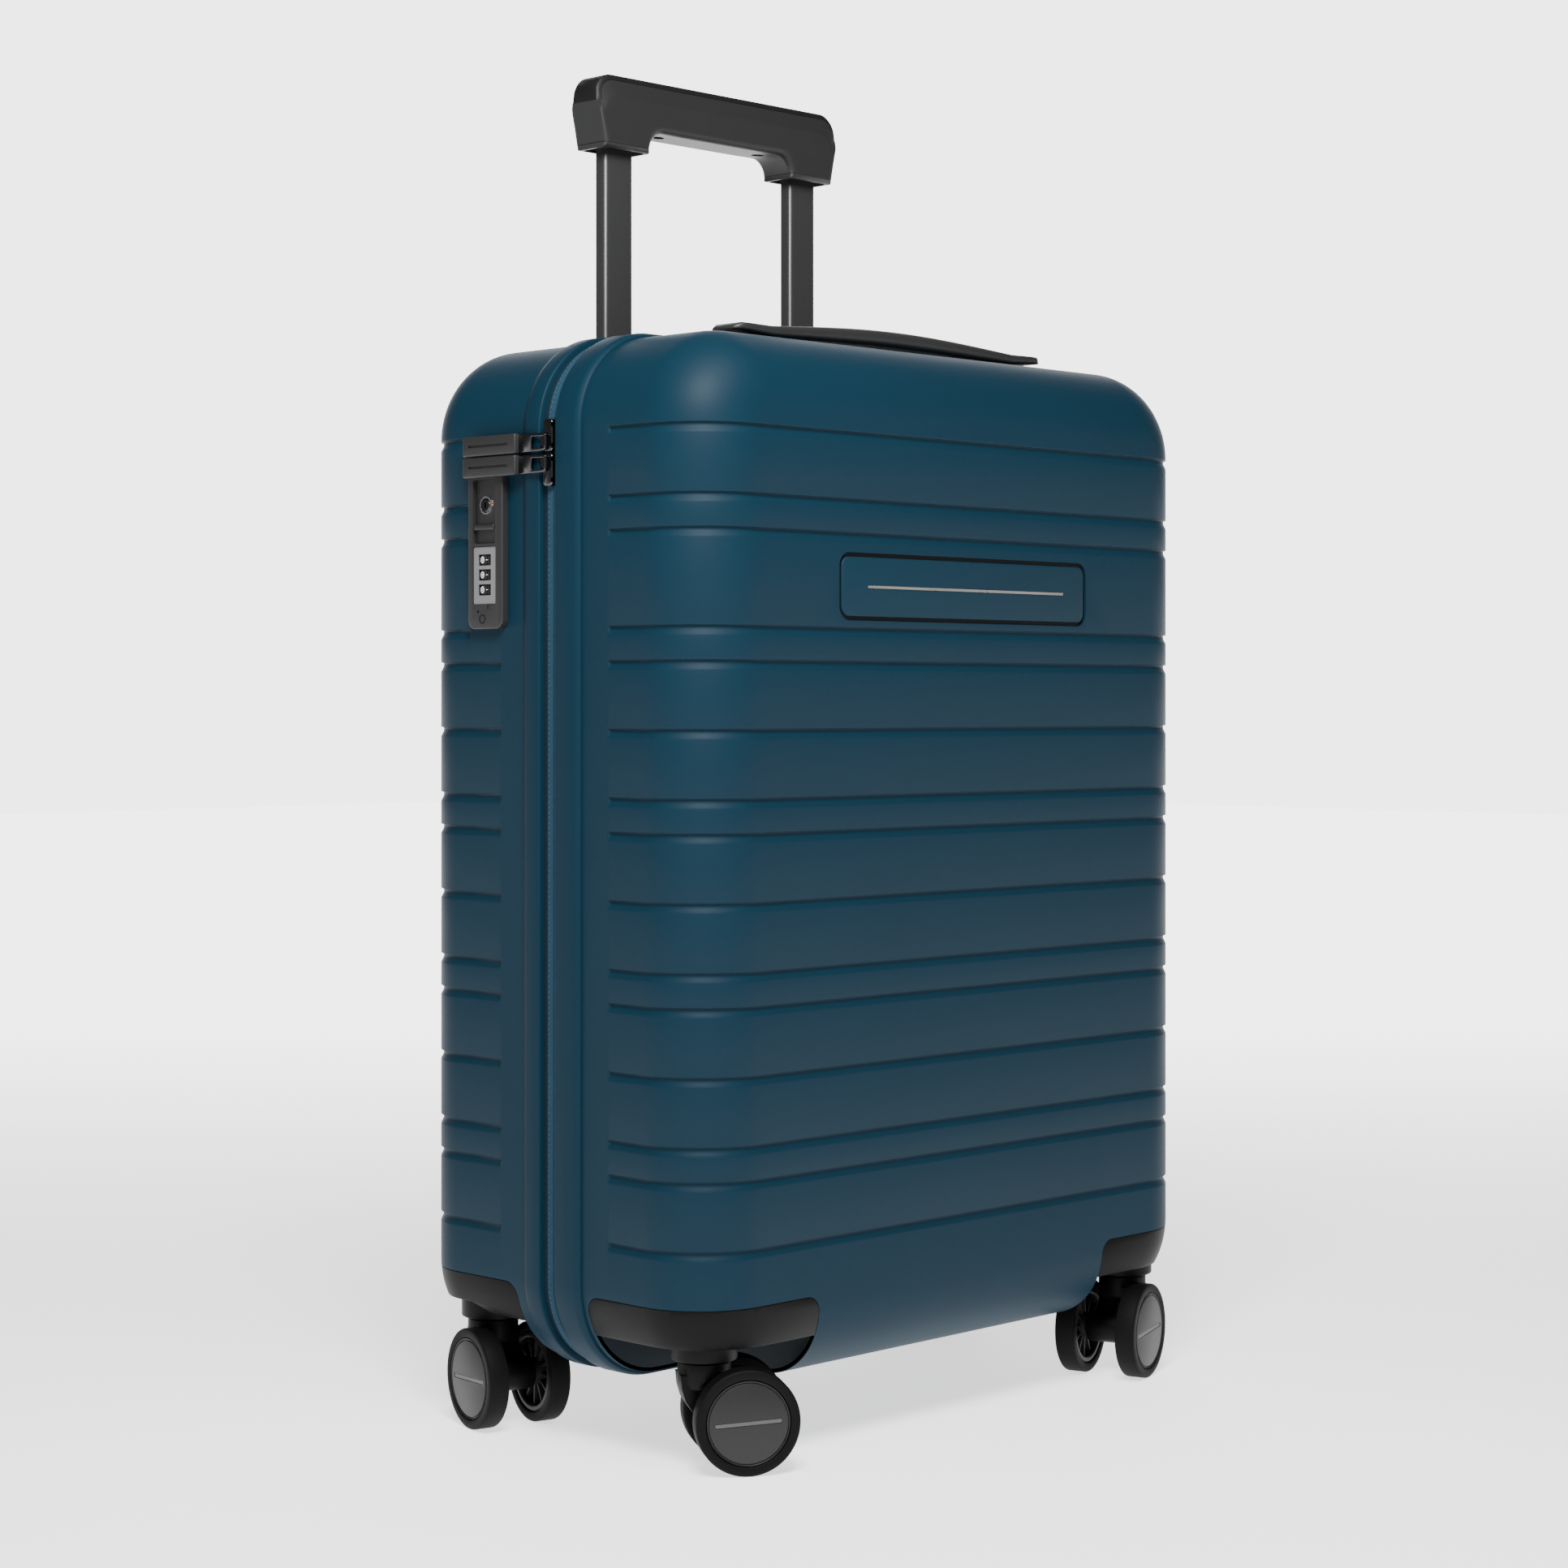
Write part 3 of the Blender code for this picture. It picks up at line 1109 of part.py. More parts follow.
HINGE_PLACE = (HINGE_X, SPLIT, (CASE_TOP + CASE_BOTTOM) / 2)
FRONT_HALF = new_empty("front_half_hinge", HINGE_PLACE, SUITCASE)
HALVES = {-1: FRONT_HALF, 1: SUITCASE}
PIVOTS = {-1: HINGE_PLACE, 1: (0, 0, 0)}
MIDDLE_PLACE = (0, TUBE_Y, TRAY_FLOOR)
MIDDLE = new_empty("trolley_middle", MIDDLE_PLACE, SUITCASE)
GRIP_PLACE = (0, TUBE_Y, GRIP_TOP)
GRIP = new_empty("trolley_grip", Vector(GRIP_PLACE) - Vector(MIDDLE_PLACE), MIDDLE)
BUTTON_PLACE = (0, TUBE_Y, GRIP_TOP)
BUTTON_FRAME = new_empty("grip_button_frame", (0, 0, 0), GRIP)
HANDLE_PLACE = (0, HANDLE_Y, SHELL_TOP)
HANDLE = new_empty("carry_handle_frame", Vector(HANDLE_PLACE) - Vector(HINGE_PLACE), FRONT_HALF)

FRONT_SHELL = make_shell("front_shell", -1)
BACK_SHELL = make_shell("back_shell", 1)
make_ring("front_band", "navy_band", -1, 0.0, BAND_THICKNESS, FRONT_BAND, BAND_BEVEL)
make_ring("back_band", "navy_band", 1, 0.0, BAND_THICKNESS, BACK_BAND, BAND_BEVEL)
FRONT_TAPE = (FRONT_BAND[1] + GAP, SPLIT - GAP / 2)
BACK_TAPE = (SPLIT + GAP / 2, BACK_BAND[0] - GAP)
make_ring("zip_tape_front", "navy_tape", -1, TAPE_INSET, TAPE_THICKNESS, FRONT_TAPE)
make_ring("zip_tape_back", "navy_tape", 1, TAPE_INSET, TAPE_THICKNESS, BACK_TAPE)
make_badge()

for corner_name, corner_x, corner_y in (
    ("front_left", -1, -1),
    ("front_right", 1, -1),
    ("back_left", -1, 1),
    ("back_right", 1, 1),
):
    make_caster(corner_name, corner_x, corner_y)

make_tray()
make_tubes()
make_grip()
make_carry_handle()

make_lock()
combine(BACK_SHELL, lock_hole("shell_lock_hole", GAP))
for slider_name, slider_above in (("upper", 1), ("lower", -1)):
    make_slider(slider_name, PULLER_PLACES[slider_name], slider_above)

front_lining, front_space = make_lining("front_lining", -1)
combine(front_lining, front_space)
back_lining, back_space = make_lining("back_lining", 1)
combine(back_lining, lock_hole("lining_lock_hole", 2 * GAP))
tray_room = tray_box(TRAY_WALL + GAP, TRAY_FLOOR - TRAY_FLOOR_THICKNESS - GAP)
combine(back_lining, add_cutter("lining_tray_room", tray_room))
tray_cover = tray_box(TRAY_WALL + GAP + LINING, TRAY_FLOOR - TRAY_FLOOR_THICKNESS - GAP - LINING)
combine(back_space, add_cutter("lining_tray_cover", tray_cover))
combine(back_lining, back_space)
make_straps()
make_gusset()
centre_on_floor()
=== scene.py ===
"""The looks of the hard shell suitcase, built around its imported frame.

Sizes are in metres, in the case's own axes: X from the lock side (-) to the hinge side (+), Y from the
front (-) to the back (+), Z up from the floor. SHIFT moves them to the frame's axes.
"""

import json
import math

import bmesh
import bpy
from mathutils import Matrix, Vector


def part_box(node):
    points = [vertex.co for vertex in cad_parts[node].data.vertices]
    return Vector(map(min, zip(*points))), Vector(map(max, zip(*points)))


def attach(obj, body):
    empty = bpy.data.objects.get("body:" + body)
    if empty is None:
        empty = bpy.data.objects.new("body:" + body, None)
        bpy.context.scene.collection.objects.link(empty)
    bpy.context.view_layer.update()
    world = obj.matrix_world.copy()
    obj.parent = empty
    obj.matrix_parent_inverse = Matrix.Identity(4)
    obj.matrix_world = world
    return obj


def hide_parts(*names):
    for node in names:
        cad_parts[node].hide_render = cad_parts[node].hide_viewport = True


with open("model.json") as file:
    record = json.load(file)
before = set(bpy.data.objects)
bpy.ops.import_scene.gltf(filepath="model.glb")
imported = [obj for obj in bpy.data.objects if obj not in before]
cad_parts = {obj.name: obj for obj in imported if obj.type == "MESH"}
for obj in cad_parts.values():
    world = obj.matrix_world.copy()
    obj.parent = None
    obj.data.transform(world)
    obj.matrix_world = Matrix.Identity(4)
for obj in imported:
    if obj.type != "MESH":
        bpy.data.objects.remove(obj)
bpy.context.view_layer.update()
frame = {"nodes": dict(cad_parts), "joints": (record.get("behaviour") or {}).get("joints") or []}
NODES = frame["nodes"]
JOINTS = {joint["name"]: joint for joint in frame["joints"]}

# ==== sizes

BAND_LOW, BAND_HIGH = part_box("front_band")
SPLIT = -0.002
HINGE = Vector(JOINTS["case_hinge"]["pos_m"])
SHIFT = Vector(((BAND_LOW.x + BAND_HIGH.x) / 2, HINGE.y - SPLIT, 0.0))
HALF_WIDTH = (BAND_HIGH.x - BAND_LOW.x) / 2
CASE_BOTTOM = BAND_LOW.z
CASE_TOP = BAND_HIGH.z
FRONT_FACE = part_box("front_shell")[0].y - SHIFT.y
BACK_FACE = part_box("back_shell")[1].y - SHIFT.y
BAND_PROUD = 0.0025
SHELL_SIDE = HALF_WIDTH - BAND_PROUD
SHELL_TOP = CASE_TOP - BAND_PROUD
SHELL_BOTTOM = CASE_BOTTOM + BAND_PROUD
WALL = 0.0022
OUTLINE_RADIUS = 0.0475
EDGE_RADIUS = {-1: 0.039, 1: 0.033}
FACE = {-1: FRONT_FACE, 1: BACK_FACE}
RIM = {-1: -0.023, 1: 0.0191}
FRONT_BAND = (-0.0227, -0.0055)
BACK_BAND = (0.006, 0.0188)
CORNER_X = SHELL_SIDE - OUTLINE_RADIUS
CORNER_TOP = SHELL_TOP - OUTLINE_RADIUS
CORNER_BOTTOM = SHELL_BOTTOM + OUTLINE_RADIUS

GROOVE_PITCH = 0.01657
LOWEST_GROOVE = 0.1061
GROOVE_PLACES = (0, 2, 3, 5, 7, 8, 10, 12, 13, 15, 17, 18, 20.83, 21.83, 23.83)
GROOVE_DEPTH = 0.0014
GROOVE_END = {-1: -0.0414, 1: 0.0373}
LOCK_GROOVE_END = 0.061
FIRST_LOCK_GROOVE = 18
# (height above the groove's middle, share of its depth): a sharp upper edge and a sloping lower lip
GROOVE_PROFILE = (
    (-0.0031, 0.0),
    (-0.0026, 0.05),
    (-0.0012, 0.55),
    (0.0000, 0.95),
    (0.0008, 1.0),
    (0.0015, 1.0),
    (0.0018, 0.92),
    (0.002, 0.1),
    (0.0023, 0.0),
)

POCKET_X = 0.11
POCKET_Y = 0.026
HOUSING_TOP = 0.08
HOUSING_RADIUS = 0.008
WHEEL_RADIUS = 0.0255
WHEEL_WIDTH = 0.0112
HUB_RADIUS = 0.0205
FORK_WIDTH = 0.023
HOUSING_BOTTOM = 0.06
HOUSING_RISE = 0.065  # the underside of the housing's middle
COLLAR_BOTTOM = 0.053
COLLAR_TOP = 0.066
COLLAR_RADIUS = 0.01625
NECK_RADIUS = 0.013
BARREL_RADIUS = 0.0083
DISC_LINE = (0.0165, 0.0011)
CORNERS = {"front_left": (-1, -1), "front_right": (1, -1), "back_left": (-1, 1), "back_right": (1, 1)}
SIDES = ((-1, "left"), (1, "right"))
PAST = 0.01  # how far a cutter runs past a surface

TUBE_X = 0.071
TUBE_Y = 0.085
GRIP_TOP = 0.705
GRIP_HALF = 0.0925
GRIP_FOOT = 0.6654
GRIP_CORNER = 0.0115
GRIP_PARTING = 0.69
GRIP_HALF_DEPTH = 0.012
TUBE_WALL = 0.0012
TUBE_CORNER = 0.0028
SCREW_X = 0.0387
HANDLE_Y = -0.048
HANDLE_FOOT_X = 0.094
LOCK_Y = (0.0317, 0.058)
LOCK_Z = (0.406, 0.5)
LOCK_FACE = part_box("lock_housing")[0].x - SHIFT.x
LOCK_AXIS_Y = 0.0454
LOCK_OPENING = (0.0362, 0.0546, 0.4135, 0.4795)
LOCK_RECESS = ((0.037, 0.054), (0.449, 0.481))
DIAL_PANEL = ((0.0365, 0.054), (0.4185, 0.4475))
KEY_Z = 0.4682
KEY_RADIUS = 0.0033


def joint_place(name):
    """A joint's place in the frame's axes."""
    return Vector(JOINTS[name]["pos_m"])


def trail_of(name):
    """From one caster's swivel axis to the middle of its axle."""
    ends = [joint_place(f"spin_{name}_{side}") for side in ("outer", "inner")]
    return (ends[0] + ends[1]) / 2 - joint_place(f"swivel_{name}")


TRAIL = trail_of("front_left").xy.length


# ==== materials


class Shader:
    """A Principled material with procedural detail, in the piece's own coordinates."""

    def __init__(self, name, colour, roughness, metallic=0.0, specular=0.5):
        self.material = bpy.data.materials.new(name)
        self.material.use_nodes = True
        self.tree = self.material.node_tree
        self.main = self.tree.nodes["Principled BSDF"]
        self.main.inputs["Base Color"].default_value = (*colour, 1)
        self.main.inputs["Roughness"].default_value = roughness
        self.main.inputs["Metallic"].default_value = metallic
        self.main.inputs["Specular IOR Level"].default_value = specular
        self.colour = colour
        self.roughness = roughness
        self.coordinates = self.tree.nodes.new("ShaderNodeTexCoord").outputs["Object"]
        self.normal = None

    def node(self, kind, **values):
        made = self.tree.nodes.new(kind)
        for key, value in values.items():
            made.inputs[key.replace("_", " ")].default_value = value
        return made

    def link(self, start, end):
        self.tree.links.new(start, end)

    def stretched(self, scale):
        mapping = self.node("ShaderNodeMapping", Scale=scale)
        self.link(self.coordinates, mapping.inputs["Vector"])
        return mapping.outputs["Vector"]

    def noise(self, scale, detail=2.0, stretch=None):
        made = self.node("ShaderNodeTexNoise", Scale=scale, Detail=detail)
        self.link(self.stretched(stretch) if stretch else self.coordinates, made.inputs["Vector"])
        return made.outputs["Fac"]

    def ranged(self, value, low, high):
        made = self.node("ShaderNodeMapRange", To_Min=low, To_Max=high)
        self.link(value, made.inputs["Value"])
        return made.outputs["Result"]

    def bump(self, height, strength, distance):
        made = self.node("ShaderNodeBump", Strength=strength, Distance=distance)
        self.link(height, made.inputs["Height"])
        if self.normal:
            self.link(self.normal, made.inputs["Normal"])
        self.normal = made.outputs["Normal"]
        self.link(self.normal, self.main.inputs["Normal"])
        return self

    def grain(self, scale, strength, distance=0.0002):
        return self.bump(self.noise(scale, 3.0), strength, distance)

    def worn(self, scale, amount):
        """Uneven roughness, as from handling."""
        self.link(
            self.ranged(self.noise(scale, 4.0), self.roughness - amount, self.roughness + amount),
            self.main.inputs["Roughness"],
        )
        return self

    def mottled(self, scale, share):
        """The colour a little lighter and darker in patches."""
        ramp = self.tree.nodes.new("ShaderNodeMix")
        ramp.data_type = "RGBA"
        ramp.inputs["A"].default_value = (*(c * (1 - share) for c in self.colour), 1)
        ramp.inputs["B"].default_value = (*(c * (1 + share) for c in self.colour), 1)
        self.link(self.noise(scale, 3.0), ramp.inputs["Factor"])
        self.link(ramp.outputs["Result"], self.main.inputs["Base Color"])
        return self

    def woven(self, scale, strength=0.6, distance=0.0002):
        """Warp and weft."""
        height = None
        for turn in ("X", "Z"):
            wave = self.node("ShaderNodeTexWave", Scale=scale, Distortion=0.6)
            wave.bands_direction = turn
            self.link(self.coordinates, wave.inputs["Vector"])
            if height is None:
                height = wave.outputs["Fac"]
            else:
                both = self.tree.nodes.new("ShaderNodeMath")
                both.operation = "MAXIMUM"
                self.link(height, both.inputs[0])
                self.link(wave.outputs["Fac"], both.inputs[1])
                height = both.outputs["Value"]
        return self.bump(height, strength, distance)


def plastic(name, colour, roughness, grain=1400, strength=0.18, specular=0.5):
    shader = Shader(name, colour, roughness, specular=specular)
    return shader.grain(grain, strength).worn(9, 0.05).mottled(14, 0.05).material


def cloth(name, colour, scale):
    return Shader(name, colour, 0.9, specular=0.2).woven(scale).grain(900, 0.3).mottled(30, 0.12).material


def metal(name, colour, roughness, strength=0.05):
    shader = Shader(name, colour, roughness, metallic=1.0)
    return shader.grain(700, strength, 0.0001).worn(60, 0.06).material


def brushed(name, colour, roughness):
    shader = Shader(name, colour, roughness, metallic=0.35)
    streaks = shader.noise(300, 3.0, (14, 14, 0.25))
    return shader.bump(streaks, 0.06, 0.0001).worn(20, 0.05).material


LOOKS = {
    "navy_shell": plastic("shell_polycarbonate", (0.0044, 0.0188, 0.032), 0.5, 1500, 0.22, 0.08),
    "navy_band": plastic("band_navy", (0.004, 0.0178, 0.0305), 0.5, 1500, 0.15, 0.07),
    "navy_tape": cloth("zip_tape_weave", (0.008, 0.033, 0.054), 420),
    # painted shade: a much darker cloth for the recessed gap between the back band and the zip tape, standing
    # in for its shade
    "zip_gap": cloth("zip_gap_painted_shade", (0.0015, 0.01, 0.018), 420),
    "thread": plastic("stitch_thread", (0.01, 0.034, 0.056), 0.7, 2500, 0.4),
    # painted shade: the caster pocket walls get a much darker navy than the shell, standing in for the shade
    # inside the pockets
    "pocket": plastic("pocket_wall_painted_shade", (0.003, 0.009, 0.015), 0.6, specular=0.25),
    "badge_navy": plastic("badge_panel_navy", (0.005, 0.0205, 0.034), 0.52, 1800, 0.1, 0.1),
    "badge_black": plastic("badge_ring_black", (0.001, 0.002, 0.003), 0.6, specular=0.15),
    "pale_metal": metal("champagne_metal", (0.7, 0.66, 0.58), 0.28),
    "black_plastic": plastic("black_plastic", (0.0018, 0.0018, 0.002), 0.48, 1600, 0.25, 0.1),
    "wheel_plastic": plastic("wheel_plastic", (0.0135, 0.0135, 0.014), 0.45, 1600, 0.25, 0.25),
    "wheel_line": plastic("wheel_line_plastic", (0.055, 0.055, 0.056), 0.5, 1600, 0.2),
    "tyre_rubber": plastic("tyre_rubber", (0.0022, 0.0022, 0.0024), 0.62, 1200, 0.35, 0.1),
    "tube_metal": brushed("tube_anodised", (0.033, 0.033, 0.034), 0.34),
    "grip_plastic": plastic("grip_plastic", (0.0125, 0.0125, 0.013), 0.48, 1300, 0.3, 0.3),
    "grip_cover": plastic("grip_cover_plastic", (0.0055, 0.0055, 0.0058), 0.5, 1300, 0.3, 0.22),
    "soft_grip": plastic("handle_plastic", (0.016, 0.016, 0.0165), 0.42, 1500, 0.3, 0.4),
    "lock_plastic": plastic("lock_plastic", (0.015, 0.015, 0.0155), 0.42, 1700, 0.25, 0.3),
    "lock_dark": plastic("lock_recess_plastic", (0.004, 0.004, 0.004), 0.5),
    "dial_panel": plastic("dial_panel_grey", (0.13, 0.13, 0.135), 0.5),
    "dial_plastic": plastic("dial_plastic", (0.006, 0.006, 0.006), 0.38),
    "white_mark": plastic("white_mark", (0.7, 0.7, 0.69), 0.5),
    "orange_mark": plastic("orange_mark", (0.65, 0.11, 0.02), 0.5),
    "gunmetal": metal("gunmetal", (0.085, 0.085, 0.09), 0.22),
    "steel": metal("bright_steel", (0.62, 0.62, 0.64), 0.22),
    "lining_cloth": cloth("lining_cloth", (0.09, 0.095, 0.105), 260),
    "strap_webbing": cloth("strap_webbing", (0.03, 0.034, 0.042), 330),
}


# ==== pieces and shapes


def moved(bm, matrix):
    bmesh.ops.transform(bm, matrix=matrix, verts=bm.verts)


def evaluated(base, objects):
    """The mesh of base with its modifiers; the objects are used up."""
    bpy.context.view_layer.update()
    result = bmesh.new()
    result.from_object(base, bpy.context.evaluated_depsgraph_get())
    for made in objects:
        mesh = made.data
        bpy.data.objects.remove(made, do_unlink=True)
        bpy.data.meshes.remove(mesh)
    return result


def linked(name, bm):
    """A new object from a mesh, which is used up."""
    mesh = bpy.data.meshes.new(name)
    bm.to_mesh(mesh)
    bm.free()
    made = bpy.data.objects.new(name, mesh)
    bpy.context.scene.collection.objects.link(made)
    return made


def finish(mesh, look, sharp):
    mesh.materials.append(LOOKS[look])
    mesh.shade_smooth()
    mesh.set_sharp_from_angle(angle=math.radians(sharp))


def add_piece(name, bm, look, body, node=None, matrix=None, sharp=35.0, normals=True):
    """One visible piece from a mesh in case axes, or in its own axes if matrix places it."""
    if normals:
        bmesh.ops.recalc_face_normals(bm, faces=bm.faces)
    moved(bm, matrix or Matrix.Translation(SHIFT))
    made = linked(name, bm)
    finish(made.data, look, sharp)
    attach(made, body)
    if node:
        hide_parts(node)
    return made


def combined(first, *others, operation="DIFFERENCE"):
    """The exact Boolean of closed meshes, which are used up."""
    objects = []
    for bm in (first, *others):
        bmesh.ops.recalc_face_normals(bm, faces=bm.faces)
        objects.append(linked("shape", bm))
    base = objects[0]
    for other in objects[1:]:
        modifier = base.modifiers.new("cut", "BOOLEAN")
        modifier.operation = operation
        modifier.solver = "EXACT"
        modifier.object = other
    return evaluated(base, objects)


def cut(first, *others):
    return combined(first, *others)


def common(first, *others):
    return combined(first, *others, operation="INTERSECT")


def united(first, *others):
    return combined(first, *others, operation="UNION")


def joined(*pieces):
    """Several meshes as one, without joining their surfaces."""
    whole = bmesh.new()
    for piece in pieces:
        mesh = bpy.data.meshes.new("piece")
        piece.to_mesh(mesh)
        piece.free()
        whole.from_mesh(mesh)
        bpy.data.meshes.remove(mesh)
    return whole


def softened(bm, width, steps=2, angle=40.0):
    """Sharp edges rounded."""
    bmesh.ops.remove_doubles(bm, verts=bm.verts, dist=1e-6)
    bmesh.ops.dissolve_limit(bm, angle_limit=math.radians(0.5), verts=bm.verts, edges=bm.edges)
    bm.normal_update()
    limit = math.radians(angle)
    sharp = [e for e in bm.edges if len(e.link_faces) == 2 and e.calc_face_angle(0.0) > limit]
    return bevelled(bm, sharp, width, steps, True)


def box(low, high):
    low, high = Vector(low), Vector(high)
    bm = bmesh.new()
    bmesh.ops.create_cube(bm, size=1.0)
    bmesh.ops.scale(bm, verts=bm.verts, vec=high - low)
    bmesh.ops.translate(bm, verts=bm.verts, vec=(low + high) / 2)
    return bm


def bevelled(bm, edges, radius, steps, clamp=False):
    bmesh.ops.bevel(
        bm, geom=edges, offset=radius, segments=steps, profile=0.5, affect="EDGES", clamp_overlap=clamp
    )
    return bm


def rounded_box(low, high, axis, radius, steps=8, rim=0.0, rim_steps=3):
    """A box with its edges along one axis rounded, and then the rims of its two ends."""
    bm = box(low, high)
    others = [i for i in range(3) if i != axis]
    runs = [(e, e.verts[1].co - e.verts[0].co) for e in bm.edges]
    bevelled(bm, [e for e, run in runs if max(abs(run[i]) for i in others) < 1e-7], radius, steps)
    if rim:
        for place in (low[axis], high[axis]):
            round_face(bm, axis, place, rim, rim_steps)
    return bm


def round_face(bm, axis, place, radius, steps):
    return bevelled(
        bm, [e for e in bm.edges if all(abs(v.co[axis] - place) < 1e-6 for v in e.verts)], radius, steps
    )


def upright(centre, half, low, high, radius, steps, rim=0.0, rim_steps=3):
    """A rounded block about an upright line, from its half width and half depth."""
    (x, y), (half_x, half_y) = centre, half
    ends = (x - half_x, y - half_y, low), (x + half_x, y + half_y, high)
    return rounded_box(*ends, 2, radius, steps, rim, rim_steps)


def cylinder(centre, radius, length, axis="Z", steps=64):
    bm = bmesh.new()
    bmesh.ops.create_cone(bm, cap_ends=True, segments=steps, radius1=radius, radius2=radius, depth=length)
    turns = {"X": Matrix.Rotation(math.pi / 2, 4, "Y"), "Y": Matrix.Rotation(math.pi / 2, 4, "X")}
    if axis in turns:
        moved(bm, turns[axis])
    bmesh.ops.translate(bm, verts=bm.verts, vec=centre)
    return bm


def grid(rows, wrap_rows=False, wrap_columns=False):
    """A surface through rows of points."""
    bm = bmesh.new()
    verts = [[bm.verts.new(point) for point in row] for row in rows]
    height = len(verts) if wrap_rows else len(verts) - 1
    width = len(verts[0]) if wrap_columns else len(verts[0]) - 1
    for i in range(height):
        for j in range(width):
            upper, right = (i + 1) % len(verts), (j + 1) % len(verts[0])
            bm.faces.new((verts[i][j], verts[i][right], verts[upper][right], verts[upper][j]))
    return bm, verts


def loft(rings):
    """A closed body through closed loops of points, with flat ends."""
    bm, verts = grid(rings, wrap_columns=True)
    bm.faces.new(verts[0])
    bm.faces.new(verts[-1])
    return bm


def turned(profile, steps=72, closed=True):
    """A body turned about Z from (radius, height) pairs; a radius of 0 closes it on the axis."""
    rings = []
    for radius, height in profile:
        angles = [2 * math.pi * i / steps for i in range(steps)]
        rings.append([(radius * math.cos(a), radius * math.sin(a), height) for a in angles])
    bm, _ = grid(rings, wrap_rows=closed, wrap_columns=True)
    bmesh.ops.remove_doubles(bm, verts=bm.verts, dist=1e-7)
    bmesh.ops.dissolve_degenerate(bm, edges=bm.edges, dist=1e-8)
    return bm


def arc(centre, radius, start, end, steps):
    angles = [math.radians(start + (end - start) * i / steps) for i in range(steps + 1)]
    return [(centre[0] + radius * math.cos(a), centre[1] + radius * math.sin(a)) for a in angles]


def extruded(outline, axis, start, end):
    """A flat outline, as pairs along the other two axes, drawn out along axis."""
    others = [i for i in range(3) if i != axis]
    rings = []
    for place in (start, end):
        ring = []
        for first, second in outline:
            point = [0.0, 0.0, 0.0]
            point[others[0]], point[others[1]], point[axis] = first, second, place
            ring.append(point)
        rings.append(ring)
    return loft(rings)


# ==== case halves


def half_profile(side_y, inset, ends=()):
    """(distance out from the corner's centre line, y, outward normal) from the rim to the flat face."""
    radius = EDGE_RADIUS[side_y]
    reach = OUTLINE_RADIUS - inset
    centre = FACE[side_y] - side_y * radius
    stops = [RIM[side_y]]
    for end in ends:
        stops += [end - side_y * 0.0006, end, end + side_y * 0.0006, end + side_y * 0.0014]
    stops.append(centre)
    steps = sorted(set(stops), key=lambda y: side_y * y)
    points = [(reach, y, 1.0, 0.0) for y in steps]
    for i in range(1, 17):
        a = math.pi / 2 * i / 16
        out = OUTLINE_RADIUS - radius + (radius - inset) * math.cos(a)
        y = centre + side_y * (radius - inset) * math.sin(a)
        points.append((out, y, math.cos(a), side_y * math.sin(a)))
    points.append((0.0, points[-1][1], 0.0, side_y))
    return points


def groove_share(side_y, side_x, y, place):
    """How deep, from 0 to 1, a groove is at y on one side."""
    end = GROOVE_END[side_y]
    if side_y > 0 and side_x < 0 and place >= FIRST_LOCK_GROOVE:
        end = LOCK_GROOVE_END
    past = side_y * (y - end)
    return min(1.0, max(0.0, past / 0.0012))


def case_skin(side_y):
    """The outer surface of one half, with its pressed grooves, as an open sheet."""
    ends = (GROOVE_END[side_y],) if side_y < 0 else (GROOVE_END[side_y], LOCK_GROOVE_END)
    profile = half_profile(side_y, 0.0, ends)
    columns = [(-1, -CORNER_X - p[0], p[1], -p[2], p[3]) for p in profile]
    across = [(-1, -CORNER_X + 2 * CORNER_X * i / 12, profile[-1][1], 0.0, side_y) for i in range(1, 12)]
    columns += across
    columns += [(1, CORNER_X + p[0], p[1], p[2], p[3]) for p in reversed(profile)]
    rows = []
    levels = [(CORNER_BOTTOM, None, 0.0)]
    for place in GROOVE_PLACES:
        middle = LOWEST_GROOVE + place * GROOVE_PITCH
        levels += [(middle + height, place, share) for height, share in GROOVE_PROFILE]
    levels.append((CORNER_TOP, None, 0.0))
    for z, place, share in levels:
        row = []
        for side_x, x, y, normal_x, normal_y in columns:
            on_face = abs(x) <= CORNER_X + 1e-9
            reach = 1.0 if place is None or on_face else groove_share(side_y, side_x, y, place)
            depth = GROOVE_DEPTH * share * reach
            row.append((x - normal_x * depth, y - normal_y * depth, z))
        rows.append(row)
    middle, _ = grid(rows)
    pieces = [middle]
    strip_x = [-CORNER_X] + [c[1] for c in across] + [CORNER_X]
    for level, up in ((CORNER_TOP, 1), (CORNER_BOTTOM, -1)):
        strip = [[(x, p[1], level + up * p[0]) for p in profile] for x in strip_x]
        pieces.append(grid(strip)[0])
        for side in (-1, 1):
            patch = []
            for i in range(21):
                a = math.pi / 2 * i / 20
                patch.append(
                    [
                        (side * (CORNER_X + p[0] * math.cos(a)), p[1], level + up * p[0] * math.sin(a))
                        for p in profile
                    ]
                )
            pieces.append(grid(patch)[0])
    skin = joined(*pieces)
    bmesh.ops.remove_doubles(skin, verts=skin.verts, dist=1e-6)
    bmesh.ops.dissolve_degenerate(skin, edges=skin.edges, dist=1e-7)
    bmesh.ops.recalc_face_normals(skin, faces=skin.faces)
    flat = max(skin.faces, key=lambda f: side_y * f.calc_center_median().y)
    if flat.normal.y * side_y < 0:
        bmesh.ops.reverse_faces(skin, faces=skin.faces)
    return skin


def thickened(bm, thickness):
    """An open sheet made a closed wall, grown inwards."""
    made = linked("sheet", bm)
    solidify = made.modifiers.new("wall", "SOLIDIFY")
    solidify.thickness = thickness
    solidify.offset = -1
    return evaluated(made, [made])


